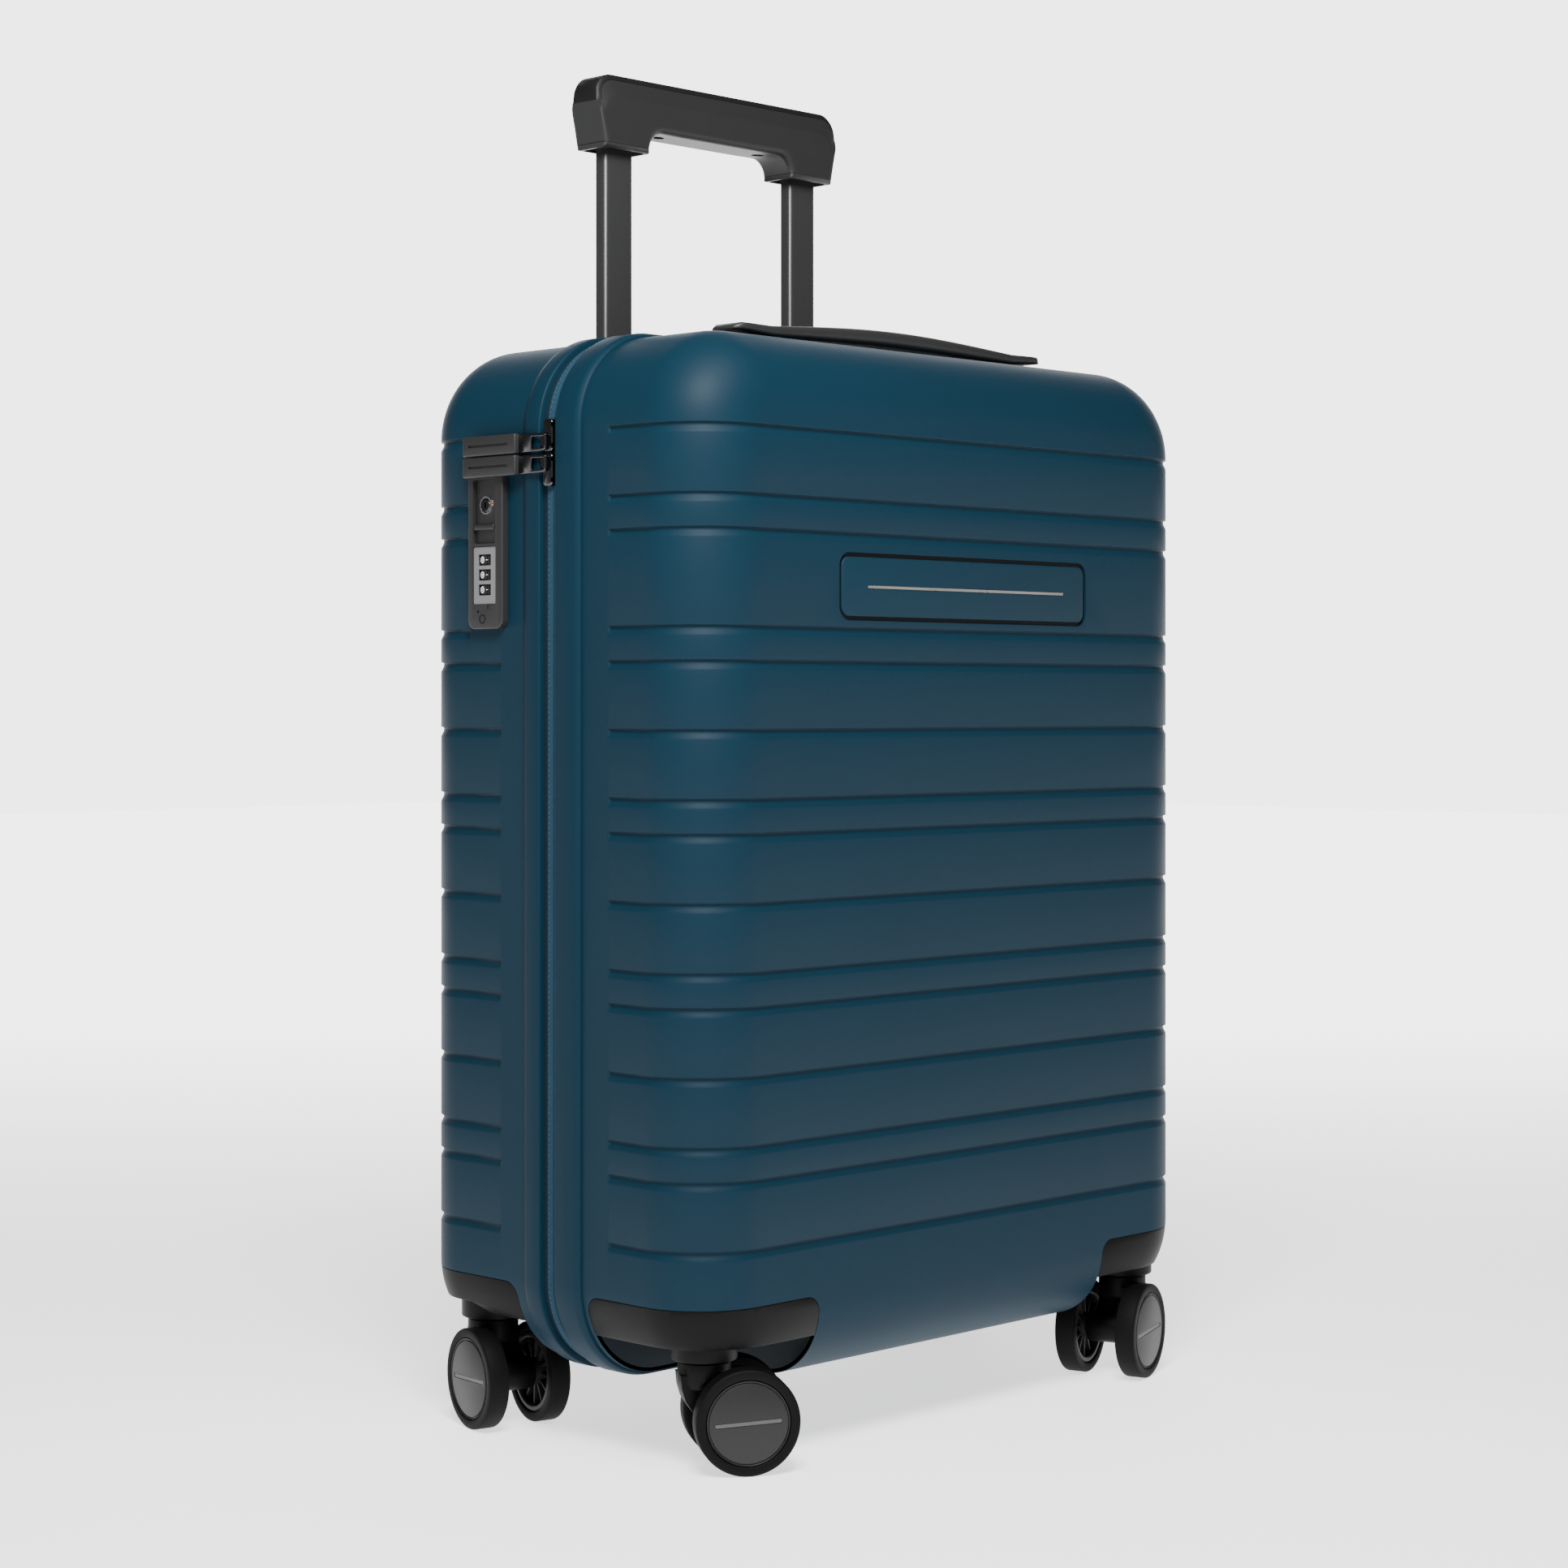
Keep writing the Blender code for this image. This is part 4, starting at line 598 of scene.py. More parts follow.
def half_block(side_y, inset=0.0, rim=SPLIT):
    """The space of one half as a smooth solid."""
    flat = FACE[side_y] - side_y * inset
    low, high = sorted((flat, rim))
    bm = rounded_box(
        (-SHELL_SIDE + inset, low, SHELL_BOTTOM + inset),
        (SHELL_SIDE - inset, high, SHELL_TOP - inset),
        1,
        OUTLINE_RADIUS - inset,
        16,
    )
    return round_face(bm, 1, flat, EDGE_RADIUS[side_y] - inset, 12)


def corner_block(side_x, side_y, grow, top=HOUSING_TOP, bottom=0.0):
    """The caster pocket of one corner, larger by grow, with rounded upper edges."""
    inner_x, inner_y = side_x * (POCKET_X - grow), side_y * (POCKET_Y - grow)
    outer_x, outer_y = side_x * (HALF_WIDTH + 2 * PAST), side_y * (BACK_FACE + 2 * PAST)
    top += grow
    xs, ys = sorted((inner_x, outer_x)), sorted((inner_y, outer_y))
    bm = box((xs[0], ys[0], bottom), (xs[1], ys[1], top))
    upper = [e for e in bm.edges if all(abs(v.co.z - top) < 1e-6 for v in e.verts)]
    inner = []
    for edge in upper:
        off_x = max(abs(v.co.x - inner_x) for v in edge.verts)
        off_y = max(abs(v.co.y - inner_y) for v in edge.verts)
        if min(off_x, off_y) < 1e-6:
            inner.append(edge)
    return bevelled(bm, inner, HOUSING_RADIUS + grow, 6)


def make_shell(side_y, name, body):
    shell = thickened(case_skin(side_y), WALL)
    cutters = [corner_block(side, side_y, 0.0) for side in (-1, 1)]
    if side_y < 0:
        cutters.append(badge_block(0.0, -0.02, BADGE_DEPTH))
    else:
        cutters.append(tray_block(0.0019, 0.52))
        near_y, far_y, low, high = LOCK_OPENING
        cutters.append(rounded_box((-0.22, near_y, low), (-0.17, far_y, high), 0, 0.001, 2))
    add_piece(name, cut(shell, *cutters), "navy_shell", body, name, sharp=50)
    for side, way in SIDES:
        liner = common(corner_block(side, side_y, WALL), half_block(side_y, 0.0004))
        liner = cut(liner, corner_block(side, side_y, 0.0))
        half = "front" if side_y < 0 else "back"
        # the pocket walls carry painted shade: a darker navy than the shell they belong to
        add_piece(f"pocket_wall_{half}_{way}", liner, "pocket", body, sharp=45)


def outline(inset, steps=24):
    """Points and outward normals around the case's edge bands, seen from the front."""
    radius = OUTLINE_RADIUS + BAND_PROUD
    middles = (
        (HALF_WIDTH - radius, CASE_TOP - radius, 0),
        (-HALF_WIDTH + radius, CASE_TOP - radius, 90),
        (-HALF_WIDTH + radius, CASE_BOTTOM + radius, 180),
        (HALF_WIDTH - radius, CASE_BOTTOM + radius, 270),
    )
    points = []
    for x, z, start in middles:
        for i in range(steps + 1):
            a = math.radians(start + 90 * i / steps)
            reach = radius - inset
            points.append((x + reach * math.cos(a), z + reach * math.sin(a), math.cos(a), math.sin(a)))
    return points


def band(profile):
    """A closed ring around the case from (inset, y) pairs."""
    rings = []
    for inset, y in profile:
        rings.append([(x, y, z) for x, z, _, _ in outline(inset)])
    return grid(rings, wrap_rows=True, wrap_columns=True)[0]


def along_outline(inset, spacing):
    """Evenly spaced places around the case: (x, z, normal x, normal z)."""
    points = outline(inset)
    places, left = [], 0.0
    for first, second in zip(points, points[1:] + points[:1]):
        run = math.hypot(second[0] - first[0], second[1] - first[1])
        while left < run:
            share = left / run
            places.append(tuple(a + (b - a) * share for a, b in zip(first, second)))
            left += spacing
        left -= run
    return places


def stitches(name, y, body, inset):
    """A row of small stitches on the zip tape."""
    pieces = []
    for x, z, normal_x, normal_z in along_outline(inset, 0.0026):
        bm = bmesh.new()
        bmesh.ops.create_icosphere(bm, subdivisions=1, radius=1.0)
        bmesh.ops.scale(bm, verts=bm.verts, vec=(0.00022, 0.00034, 0.00085))
        turn = math.atan2(normal_z, normal_x)
        moved(bm, Matrix.Rotation(-turn, 4, "Y"))
        bmesh.ops.translate(bm, verts=bm.verts, vec=(x, y, z))
        pieces.append(bm)
    add_piece(name, joined(*pieces), "thread", body, sharp=80)


BAND_THICKNESS = 0.0045
TAPE_INSET = 0.0039


def make_bands():
    """Profiles as (depth below the bands' top, y) around the case."""
    low, high = FRONT_BAND
    front = [
        (BAND_THICKNESS, low), (0.0016, low), (0.0011, low + 0.0003), (0.0003, low + 0.0026),
        (0.0001, low + 0.0031), (0.0, low + 0.0036), (0.0, high - 0.001), (0.0001, high - 0.0005),
        (0.0004, high - 0.0001), (0.0008, high), (BAND_THICKNESS, high),
    ]
    ring = band(front)
    add_piece("front_band_ring", ring, "navy_band", "front_half", "front_band", sharp=60)
    low, high = BACK_BAND
    back = [
        (BAND_THICKNESS, low), (0.0009, low), (0.0004, low + 0.0002), (0.0001, low + 0.0006),
        (0.0, low + 0.0011), (0.0, high - 0.0034), (0.0002, high - 0.0028), (0.001, high - 0.0004),
        (0.0015, high), (BAND_THICKNESS, high),
    ]
    ring = band(back)
    add_piece("back_band_ring", ring, "navy_band", "back_half", "back_band", sharp=60)
    front_tape = [
        (TAPE_INSET, -0.0052), (0.0024, -0.0052), (0.0023, -0.0048), (0.0023, -0.0028), (0.0026, -0.0023),
        (0.0032, -0.00215), (TAPE_INSET, -0.00215),
    ]
    ring = band(front_tape)
    add_piece("zip_tape_front_ring", ring, "navy_tape", "front_half", "zip_tape_front")
    back_tape = [
        (TAPE_INSET, 0.0057), (0.0034, 0.0057), (0.0034, 0.003), (0.003, 0.0026), (0.0024, 0.0022),
        (0.0023, 0.0016), (0.0023, -0.0012), (0.0026, -0.0017), (0.0032, -0.00185), (TAPE_INSET, -0.00185),
    ]
    ring = band(back_tape)
    add_piece("zip_tape_back_ring", ring, "navy_tape", "back_half", "zip_tape_back")
    # a dark ring laid over the tape in the gap, as painted shade
    gap = [(TAPE_INSET, 0.0056), (0.0033, 0.0056), (0.0033, 0.0031), (TAPE_INSET, 0.0031)]
    add_piece("zip_gap_ring", band(gap), "zip_gap", "back_half")
    stitches("zip_stitches_front", -0.004, "front_half", 0.00225)
    stitches("zip_stitches_back", 0.0009, "back_half", 0.00225)


BADGE_CENTRE = 0.4266
BADGE_SIZE = (0.192, 0.0336)
BADGE_DEPTH = 0.0015
BADGE_RING = 0.0021
BAR_HALF_HEIGHT = 0.00065


def badge_block(inset, before, depth):
    """A rounded block in the place of the badge, from before the face to depth behind it."""
    half_x, half_z = BADGE_SIZE[0] / 2 - inset, BADGE_SIZE[1] / 2 - inset
    return rounded_box(
        (-half_x, FRONT_FACE + before, BADGE_CENTRE - half_z),
        (half_x, FRONT_FACE + depth, BADGE_CENTRE + half_z),
        1,
        0.007 - inset,
        10,
    )


def make_badge():
    """A panel in a dark gap, with a thin metal bar and no lettering."""
    floor = cut(badge_block(0.0001, BADGE_DEPTH - 0.0004, BADGE_DEPTH), badge_block(0.004, -0.01, 0.01))
    add_piece("badge_gap", floor, "badge_black", "front_half")
    panel = badge_block(BADGE_RING, 0.0, BADGE_DEPTH - 0.0001)
    round_face(panel, 1, FRONT_FACE, 0.0006, 3)
    add_piece("badge_face", panel, "badge_navy", "front_half", "badge_panel", sharp=60)
    low_z, high_z = BADGE_CENTRE - BAR_HALF_HEIGHT, BADGE_CENTRE + BAR_HALF_HEIGHT
    ends = (-0.0755, FRONT_FACE - 0.00025, low_z), (0.0765, FRONT_FACE + 0.0002, high_z)
    bar = rounded_box(*ends, 1, 0.0005, 3)
    add_piece("badge_strip", bar, "pale_metal", "front_half", "badge_bar", sharp=60)


# ==== casters


def make_housing(name, side_x, side_y, body):
    rise = box((0, 0, 0), (1, 1, 1))
    for vert in rise.verts:
        high = vert.co.z > 0.5
        x = HALF_WIDTH + 2 * PAST if vert.co.x > 0.5 else (0.145 if high else 0.127)
        y = BACK_FACE + 2 * PAST if vert.co.y > 0.5 else (0.065 if high else 0.049)
        vert.co = (side_x * x, side_y * y, HOUSING_RISE if high else HOUSING_BOTTOM - 0.0003)
    raised = cut(corner_block(side_x, side_y, -0.0003, HOUSING_TOP, HOUSING_BOTTOM), rise)
    block = softened(common(raised, half_block(side_y, 0.0)), 0.0007, 2, 45)
    node = f"caster_housing_{name}"
    add_piece(f"housing_{name}", block, "black_plastic", body, node, sharp=50)
    collar = turned(
        [
            (0.0, COLLAR_TOP), (0.0155, COLLAR_TOP), (COLLAR_RADIUS, COLLAR_TOP - 0.0008),
            (COLLAR_RADIUS, COLLAR_BOTTOM + 0.0012), (0.016, COLLAR_BOTTOM + 0.0004),
            (0.0152, COLLAR_BOTTOM), (0.0, COLLAR_BOTTOM),
        ],
        closed=False,
    )
    place = Matrix.Translation(joint_place(f"swivel_{name}"))
    add_piece(f"collar_{name}", collar, "black_plastic", body, matrix=place, sharp=30)


def caster_matrix(name):
    """The fork's own axes: the origin below its stem, X towards the wheels, Y along the axle."""
    stem, trail = joint_place(f"swivel_{name}"), trail_of(name)
    return Matrix.Translation((stem.x, stem.y, 0)) @ Matrix.Rotation(math.atan2(trail.y, trail.x), 4, "Z")


def fork_mesh():
    top = COLLAR_BOTTOM - 0.0004
    neck = [(0.0, top), (0.0122, top), (NECK_RADIUS, top - 0.0008), (NECK_RADIUS, 0.044), (0.0122, 0.04)]
    neck = turned([*neck, (0.0, 0.04)], closed=False)
    half = FORK_WIDTH / 2 * 0.74
    spine = [
        (-0.0128, 0.0465), (-0.0122, 0.04), (-0.0104, 0.034), (-0.007, 0.0288), (-0.002, 0.0245),
        (0.004, 0.0212), (0.011, 0.0186), (TRAIL, 0.0182), (TRAIL, 0.0325), (0.0125, 0.041), (0.0125, 0.0465),
    ]
    web = extruded(spine, 1, -half, half)
    body = united(neck, web, cylinder((TRAIL, 0, WHEEL_RADIUS), BARREL_RADIUS, FORK_WIDTH, "Y"))
    arches, hollows = [], []
    for side in (-1, 1):
        middle = (TRAIL, side * (FORK_WIDTH / 2 + 0.0067), WHEEL_RADIUS)
        arches.append(cylinder(middle, WHEEL_RADIUS + 0.0014, 0.013, "Y", 96))
        hollows.append(cylinder((0.0035, side * 0.0135, 0.0315), 0.0092, 0.014, "Y", 48))
    return softened(cut(body, *arches, *hollows), 0.0005, 2, 40)


TO_Y = Matrix.Rotation(-math.pi / 2, 4, "X")  # turns a body about Z into one about Y
SPOKES = 12


def wheel_meshes():
    """The hub and tyre of one wheel about Y, with its closed face towards +Y."""
    width = WHEEL_WIDTH
    face = turned(
        [
            (0.0, width - 0.0001), (0.0187, width - 0.0001), (0.0191, width - 0.0003), (0.0193, width - 0.001),
            (0.0196, width - 0.001), (0.0198, width - 0.0003), (0.0202, width - 0.0001),
            (HUB_RADIUS - 0.0002, width - 0.0006), (HUB_RADIUS - 0.0002, 0.0014), (HUB_RADIUS - 0.0008, 0.0008),
            (HUB_RADIUS - 0.0024, 0.0008), (HUB_RADIUS - 0.003, 0.0014), (HUB_RADIUS - 0.0032, width - 0.0032),
            (0.0075, width - 0.0036), (0.0068, 0.001), (0.0062, 0.0004), (0.0036, 0.0004), (0.0031, 0.001),
            (0.0031, width - 0.0026), (0.0, width - 0.0026),
        ],
        96,
        closed=False,
    )
    moved(face, TO_Y)
    x, z = DISC_LINE
    hub = cut(face, rounded_box((-x, width - 0.0009, -z), (x, width + PAST, z), 1, 0.001, 5))
    x, z = x - 0.0002, z - 0.0002
    line = rounded_box((-x, width - 0.0012, -z), (x, width - 0.0003, z), 1, 0.00085, 5)
    spokes = []
    for i in range(SPOKES):
        ends = (0.006, width - 0.008, -0.0006), (HUB_RADIUS - 0.0026, width - 0.002, 0.0006)
        spoke = rounded_box(*ends, 0, 0.0003, 2)
        turn = Matrix.Rotation(i * 2 * math.pi / SPOKES, 4, "Y")
        moved(spoke, turn)
        spokes.append(spoke)
    inner = HUB_RADIUS + 0.0002
    tread = turned(
        [
            (inner, width - 0.0003), (inner + 0.0004, width), (0.0243, width), (0.0249, width - 0.0002),
            (0.0253, width - 0.0005), (WHEEL_RADIUS, width - 0.001), (WHEEL_RADIUS, 0.0012), (0.0253, 0.0007),
            (0.0249, 0.0004), (0.0243, 0.0003), (inner + 0.0004, 0.0003), (inner, 0.0008),
        ],
        96,
    )
    moved(tread, TO_Y)
    return hub, line, joined(*spokes), tread


def make_caster(name, side_x, side_y):
    make_housing(name, side_x, side_y, "front_half" if side_y < 0 else "back_half")
    place = caster_matrix(name)
    fork, node = f"fork_{name}", f"caster_fork_{name}"
    add_piece(f"fork_{name}", fork_mesh(), "black_plastic", fork, node, place, 40)
    for side, turn, way in (("outer", 0.0, 1), ("inner", math.pi, -1)):
        axle = Matrix.Translation((TRAIL, way * (FORK_WIDTH / 2 + 0.0002), WHEEL_RADIUS))
        here = place @ axle @ Matrix.Rotation(turn, 4, "Z")
        tilted = here @ Matrix.Rotation(math.radians(3), 4, "Y")
        which = f"{name}_{side}"
        body = f"wheel_{which}"
        hub, line, spokes, tread = wheel_meshes()
        node = f"wheel_hub_{which}"
        add_piece(f"disc_{which}", hub, "wheel_plastic", body, node, tilted, 30)
        add_piece(f"disc_line_{which}", line, "wheel_line", body, None, tilted, 40)
        add_piece(f"spokes_{which}", spokes, "wheel_plastic", body, None, tilted, 40)
        add_piece(f"tread_{which}", tread, "tyre_rubber", body, f"tyre_{which}", tilted, 60)
        end = turned([(0.0, 0.0), (0.00275, 0.0), (0.00275, 0.0078), (0.0, 0.0078)], 32, closed=False)
        moved(end, TO_Y)
        add_piece(f"axle_{which}", end, "steel", fork, None, here)


# ==== trolley


def tray_block(grow, bottom):
    return upright((0, TUBE_Y), (0.094 + grow, 0.0135 + grow), bottom, CASE_TOP + 2 * PAST, 0.006 + grow, 8)


def tube_hole(x, low, high):
    """The room that an inner tube needs."""
    return upright((x, TUBE_Y), (0.0107, 0.0047), low, high, 0.0029, 6)


def make_tubes():
    for side, label in SIDES:
        middle = (side * TUBE_X, TUBE_Y)
        for kind, body in (("inner", "trolley_grip"), ("middle", "trolley_middle")):
            node = f"tube_{kind}_{label}"
            low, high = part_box(node)
            half_x, half_y = (high.x - low.x) / 2, (high.y - low.y) / 2
            outer = upright(middle, (half_x, half_y), low.z, high.z, TUBE_CORNER, 8, 0.0003, 2)
            room = (half_x - TUBE_WALL, half_y - TUBE_WALL)
            inner = upright(middle, room, low.z - PAST, high.z + PAST, TUBE_CORNER - TUBE_WALL, 4)
            mesh = cut(outer, inner)
            add_piece(f"{kind}_tube_{label}", mesh, "tube_metal", body, node, sharp=60)
        top = high.z
        collar = upright(middle, (0.015, 0.009), top + 0.0002, top + 0.0016, 0.004, 6, 0.0006, 2)
        collar = cut(collar, tube_hole(middle[0], top - PAST, top + 2 * PAST))
        add_piece(f"tube_collar_{label}", collar, "black_plastic", "trolley_middle")


def grip_ring(y, top_inset, low_inset):
    """The grip's outline seen from the front, at one depth."""
    top = GRIP_TOP - top_inset
    over_x = GRIP_HALF - top_inset * 0.35 - low_inset * 0.3
    right = arc((over_x - GRIP_CORNER, top - GRIP_CORNER), GRIP_CORNER, 90, 12, 8)
    shoulder = min(GRIP_PARTING, top - 0.004, right[-1][1] - 0.001)
    right += [(GRIP_HALF - low_inset - 0.0003, shoulder), (0.088 - low_inset, GRIP_FOOT + low_inset)]
    inside = 0.0545 + low_inset
    under = 0.6775 + low_inset
    right += [(inside, GRIP_FOOT + low_inset), (inside, under - 0.01)]
    right += arc((inside - 0.011, under - 0.011), 0.011, 10, 90, 8)
    right.append((0.03, under - 0.0002))
    return [(x, y, z) for x, z in right] + [(-x, y, z) for x, z in reversed(right)]


def grip_mesh():
    # (depth behind the front, height below the top, inset of the lower edges)
    stations = (
        (0.0, 0.0124, 0.0038),
        (0.0, 0.0115, 0.003),
        (0.0004, 0.01, 0.0016),
        (0.0011, 0.0075, 0.0007),
        (0.002, 0.0041, 0.0002),
        (0.0026, 0.0018, 0.0000),
        (0.0031, 0.0008, 0.0000),
        (0.004, 0.0000, 0.0000),
    )
    rings = [grip_ring(TUBE_Y - GRIP_HALF_DEPTH + y, top, low) for y, top, low in stations]
    rings += [grip_ring(TUBE_Y + GRIP_HALF_DEPTH - y, top, low) for y, top, low in reversed(stations)]
    bm = loft(rings)
    bmesh.ops.recalc_face_normals(bm, faces=bm.faces)
    bm.normal_update()
    ends = [face for face in bm.faces if len(face.verts) > 4]
    bmesh.ops.triangulate(bm, faces=ends, ngon_method="EAR_CLIP")
    return bm


def grip_cap(inset):
    """Everything above and beside the grip's top edge set in by inset."""
    side = GRIP_HALF - inset
    middle = (GRIP_HALF - GRIP_CORNER, GRIP_TOP - GRIP_CORNER)
    over = arc(middle, GRIP_CORNER - inset, 90, 0, 8) + [(side, GRIP_PARTING)]
    right = [(0.12, 0.73), (0.12, GRIP_PARTING), *reversed(over)]
    return extruded(right + [(-x, z) for x, z in reversed(right)], 1, TUBE_Y - 0.03, TUBE_Y + 0.03)


def button_well():
    return upright((0, TUBE_Y), (0.0183, 0.0063), 0.694, 0.72, 0.0042, 8)


def make_grip():
    cover = common(grip_mesh(), grip_cap(0.003))
    cover = cut(cover, button_well())
    add_piece("grip_top", cover, "grip_cover", "trolley_grip", "grip_cover", sharp=38)
    cutters = [grip_cap(0.0032)]
    for side in (-1, 1):
        x = side * TUBE_X
        cutters.append(tube_hole(x, 0.65, 0.6805))
        cutters.append(upright((x, TUBE_Y), (0.0154, 0.0094), 0.65, 0.6675, 0.0043, 6))
        screw = cylinder((side * SCREW_X, TUBE_Y, 0.6775), 0.003, 0.016, "Z", 32)
        about = Matrix.Translation((-side * SCREW_X, 0, 0))
        bmesh.ops.scale(screw, verts=screw.verts, vec=(1.4, 1, 1), space=about)
        cutters.append(screw)
    cutters.append(button_well())
    for side in (-1, 1):
        low = min(side * 0.05, side * 0.1)
        around = box((low, TUBE_Y - 0.02, 0.668), (low + 0.05, TUBE_Y + 0.02, 0.6683))
        foot = upright((side * 0.0713, TUBE_Y), (0.0165, 0.0117), 0.66, 0.67, 0.003, 4)
        cutters.append(cut(around, foot))
    shell = cut(grip_mesh(), *cutters)
    add_piece("grip_shell", shell, "grip_plastic", "trolley_grip", "grip_body", sharp=38)
    low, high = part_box("grip_button")
    button = upright((0, TUBE_Y), (0.0179, 0.0059), low.z, high.z, 0.004, 8, 0.0005, 2)
    body, slot = "grip_button_body", "grip_plastic"
    add_piece("grip_push_button", button, "grip_plastic", body, "grip_button", sharp=60)


def make_carry_handle():
    """A flexible strap, bowed up in the middle, with lifted tips."""
    low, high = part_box("carry_handle")
    half, width = (high.x - low.x) / 2, 0.0108
    rings = []
    steps = 60
    for i in range(steps + 1):
        share = 2 * i / steps - 1
        bowed = math.cos(share * math.pi / 2) ** 2
        base = SHELL_TOP + 0.002 + 0.0018 * bowed + 0.0022 * max(0.0, abs(share) - 0.8) / 0.2
        end = max(0.0, (abs(share) - 0.94) / 0.06)
        side = width * (1 - 0.1 * bowed) * math.sqrt(max(0.05, 1 - 0.55 * end**2))
        thick = (0.0084 - 0.0048 * share**2) * math.sqrt(max(0.08, 1 - 0.9 * end**4))
        radius = thick * 0.42
        x = share * half + 0.0065 * share**3 - 0.0015 * share**2
        ring = []
        for cy, cz, start in (
            (side - radius, thick - radius, 0), (-side + radius, thick - radius, 90),
            (-side + radius, radius, 180), (side - radius, radius, 270),
        ):
            ring += [(x, HANDLE_Y + y, base + z) for y, z in arc((cy, cz), radius, start, start + 90, 5)]
        rings.append(ring)
    body, node = "carry_handle_body", "carry_handle"
    add_piece("handle_strap", loft(rings), "soft_grip", body, node, sharp=60)
    for side, label in SIDES:
        profile = [(0.0, 0.0042), (0.005, 0.0042), (0.0062, 0.0009), (0.0068, 0.0003), (0.0, 0.0003)]
        foot = turned(profile, 48, closed=False)
        place = Matrix.Translation(SHIFT + Vector((side * HANDLE_FOOT_X, HANDLE_Y, SHELL_TOP)))
        add_piece(f"handle_foot_{label}", foot, "soft_grip", body, None, place)


# ==== lock and zip sliders


def lock_slab(y, z, depth, before=0.004, radius=0.0008):
    """A block into the face of the lock, for a recess."""
    return rounded_box((LOCK_FACE - before, y[0], z[0]), (LOCK_FACE + depth, y[1], z[1]), 0, radius, 3)


def oval(y, z, half_y, half_z, lift):
    angles = [a * math.pi / 16 for a in range(32)]
    ring = [(y + half_y * math.cos(a), z + half_z * math.sin(a)) for a in angles]
    return extruded(ring, 0, lift - 0.0001, lift)


def mark(name, y, z, size, look, body, lift, hollow=0.0):
    """A thin oval on the lock, facing outwards."""
    bm = oval(y, z, size[0] / 2, size[1] / 2, lift)
    if hollow:
        inner = oval(y, z, size[0] / 2 * hollow, size[1] / 2 * hollow, lift)
        bmesh.ops.scale(inner, verts=inner.verts, vec=(6, 1, 1), space=Matrix.Translation((-lift, 0, 0)))
        bm = cut(bm, inner)
    add_piece(name, bm, look, body)


def lock_disc(x, radius, length, y=LOCK_AXIS_Y, z=KEY_Z, steps=48):
    return cylinder((x, y, z), radius, length, "X", steps)


def make_dial(number, place):
    ridges = []
    for i in range(20):
        for radius, share in ((0.00355, 0.0), (0.004, 0.3), (0.004, 0.6), (0.00355, 0.9)):
            a = 2 * math.pi * (i + share) / 20
            ridges.append((place.x + radius * math.cos(a), place.y + radius * math.sin(a)))
    wheel = extruded(ridges, 2, place.z - 0.0022, place.z + 0.0022)
    body, node = f"dial_{number}", f"lock_dial_{number}"
    add_piece(f"dial_wheel_{number}", wheel, "dial_plastic", body, node)
    lift, y, z = place.x - 0.00402, place.y, place.z
    mark(f"dial_window_{number}", y + 0.0009, z, (0.0026, 0.0034), "white_mark", body, lift)
    mark(f"dial_digit_{number}", y + 0.0009, z, (0.0014, 0.0022), "lock_dark", body, lift - 0.0001, 0.62)
    mark(f"dial_tick_{number}", y - 0.0021, z, (0.0016, 0.0004), "white_mark", body, lift + 0.0004)


